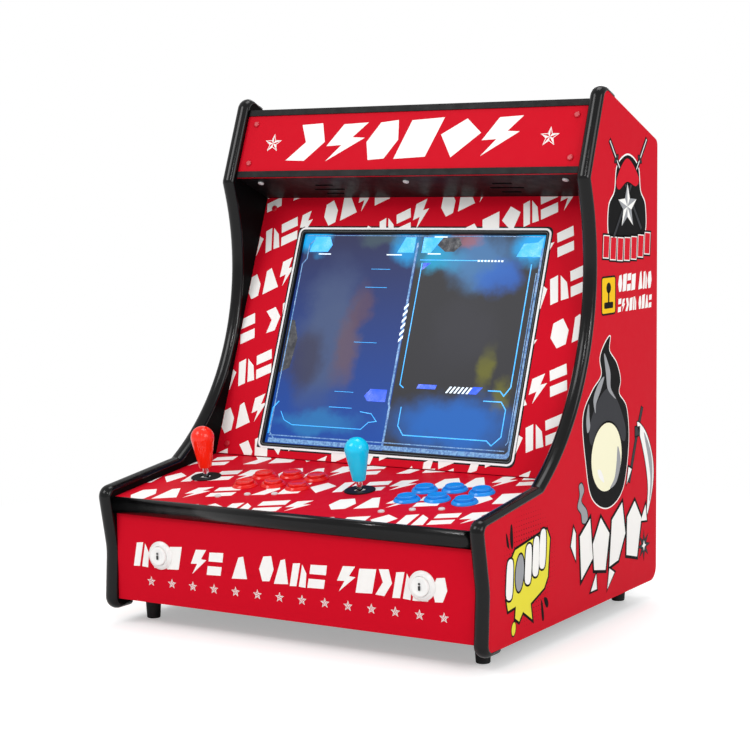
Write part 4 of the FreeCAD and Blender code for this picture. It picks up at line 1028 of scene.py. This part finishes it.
class CABINET_OT_stage(bpy.types.Operator):
    """Floor, backdrop, camera and soft studio light"""

    bl_idname = "cabinet.stage"
    bl_label = "Stage"

    def execute(self, context):
        scene, stage = context.scene, context.scene.cabinet_stage
        scene.view_settings.view_transform = "Standard"
        scene.world = scene.world or bpy.data.worlds.new("studio")
        even_sky(scene.world, stage.sky)
        paper_floor()
        middle = Vector((0, 0, 0.3))
        # Square lamps: name, place, width in metres, watts.
        for name, spot, wide, power in (
            ("key", (-1.6, -2.4, 2.6), 1.4, 34),
            ("fill", (2.6, -0.9, 1.6), 1.4, 20),
            ("top", (0, 0.4, 2.8), 1.2, 16),
            ("rear", (-0.8, 2.6, 1.8), 1.6, 24),
            ("spark", (0.9, -2.2, 1.9), 0.16, 7),
            ("glint", (2.4, -1.5, 1.3), 0.14, 5),
        ):
            lamp = bpy.data.lights.new(name, "AREA")
            lamp.shape, lamp.size, lamp.energy = "SQUARE", wide, power * stage.key
            holder = link(name, lamp)
            holder.location = spot
            holder.rotation_euler = (middle - Vector(spot)).to_track_quat("-Z", "Y").to_euler()

        az, el, roll = (math.radians(v) for v in (stage.azimuth, stage.elevation, stage.roll))
        back = Vector((math.sin(az) * math.cos(el), -math.cos(az) * math.cos(el), math.sin(el)))
        level = Vector((math.cos(az), math.sin(az), 0))
        upright = back.cross(level)
        right = level * math.cos(roll) + upright * math.sin(roll)
        up = upright * math.cos(roll) - level * math.sin(roll)
        lens = bpy.data.cameras.new("camera")
        lens.lens, lens.sensor_width = stage.lens, 36
        holder = link("camera", lens)
        turn = Matrix((right, up, back)).transposed().to_4x4()
        holder.matrix_world = Matrix.Translation(Vector(stage.place)) @ turn
        scene.camera = holder
        return {"FINISHED"}


STEPS = (CABINET_OT_laminates, CABINET_OT_trims, CABINET_OT_controls, CABINET_OT_deck_print, CABINET_OT_bezel_print,
         CABINET_OT_front_print, CABINET_OT_marquee, CABINET_OT_screen, CABINET_OT_side_print, CABINET_OT_stage)


class CABINET_PT_steps(bpy.types.Panel):
    """Lists the cabinet's steps and sizes"""

    bl_label = "Bartop cabinet"
    bl_idname = "CABINET_PT_steps"
    bl_space_type = "VIEW_3D"
    bl_region_type = "UI"
    bl_category = "Cabinet"

    def draw(self, context):
        for group in (context.scene.cabinet_sizes, context.scene.cabinet_stage):
            for key in group.__annotations__:
                self.layout.prop(group, key)
        for step in STEPS:
            self.layout.operator(step.bl_idname)


CLASSES = (CabinetSizes, CabinetStage) + STEPS + (CABINET_PT_steps,)


def register():
    for each in CLASSES:
        bpy.utils.register_class(each)
    bpy.types.Scene.cabinet_sizes = PointerProperty(type=CabinetSizes)
    bpy.types.Scene.cabinet_stage = PointerProperty(type=CabinetStage)


def unregister():
    del bpy.types.Scene.cabinet_stage
    del bpy.types.Scene.cabinet_sizes
    for each in reversed(CLASSES):
        bpy.utils.unregister_class(each)


def main():
    register()
    for step in STEPS:
        group, name = step.bl_idname.split(".")
        getattr(getattr(bpy.ops, group), name)()


if __name__ == "__main__":
    main()
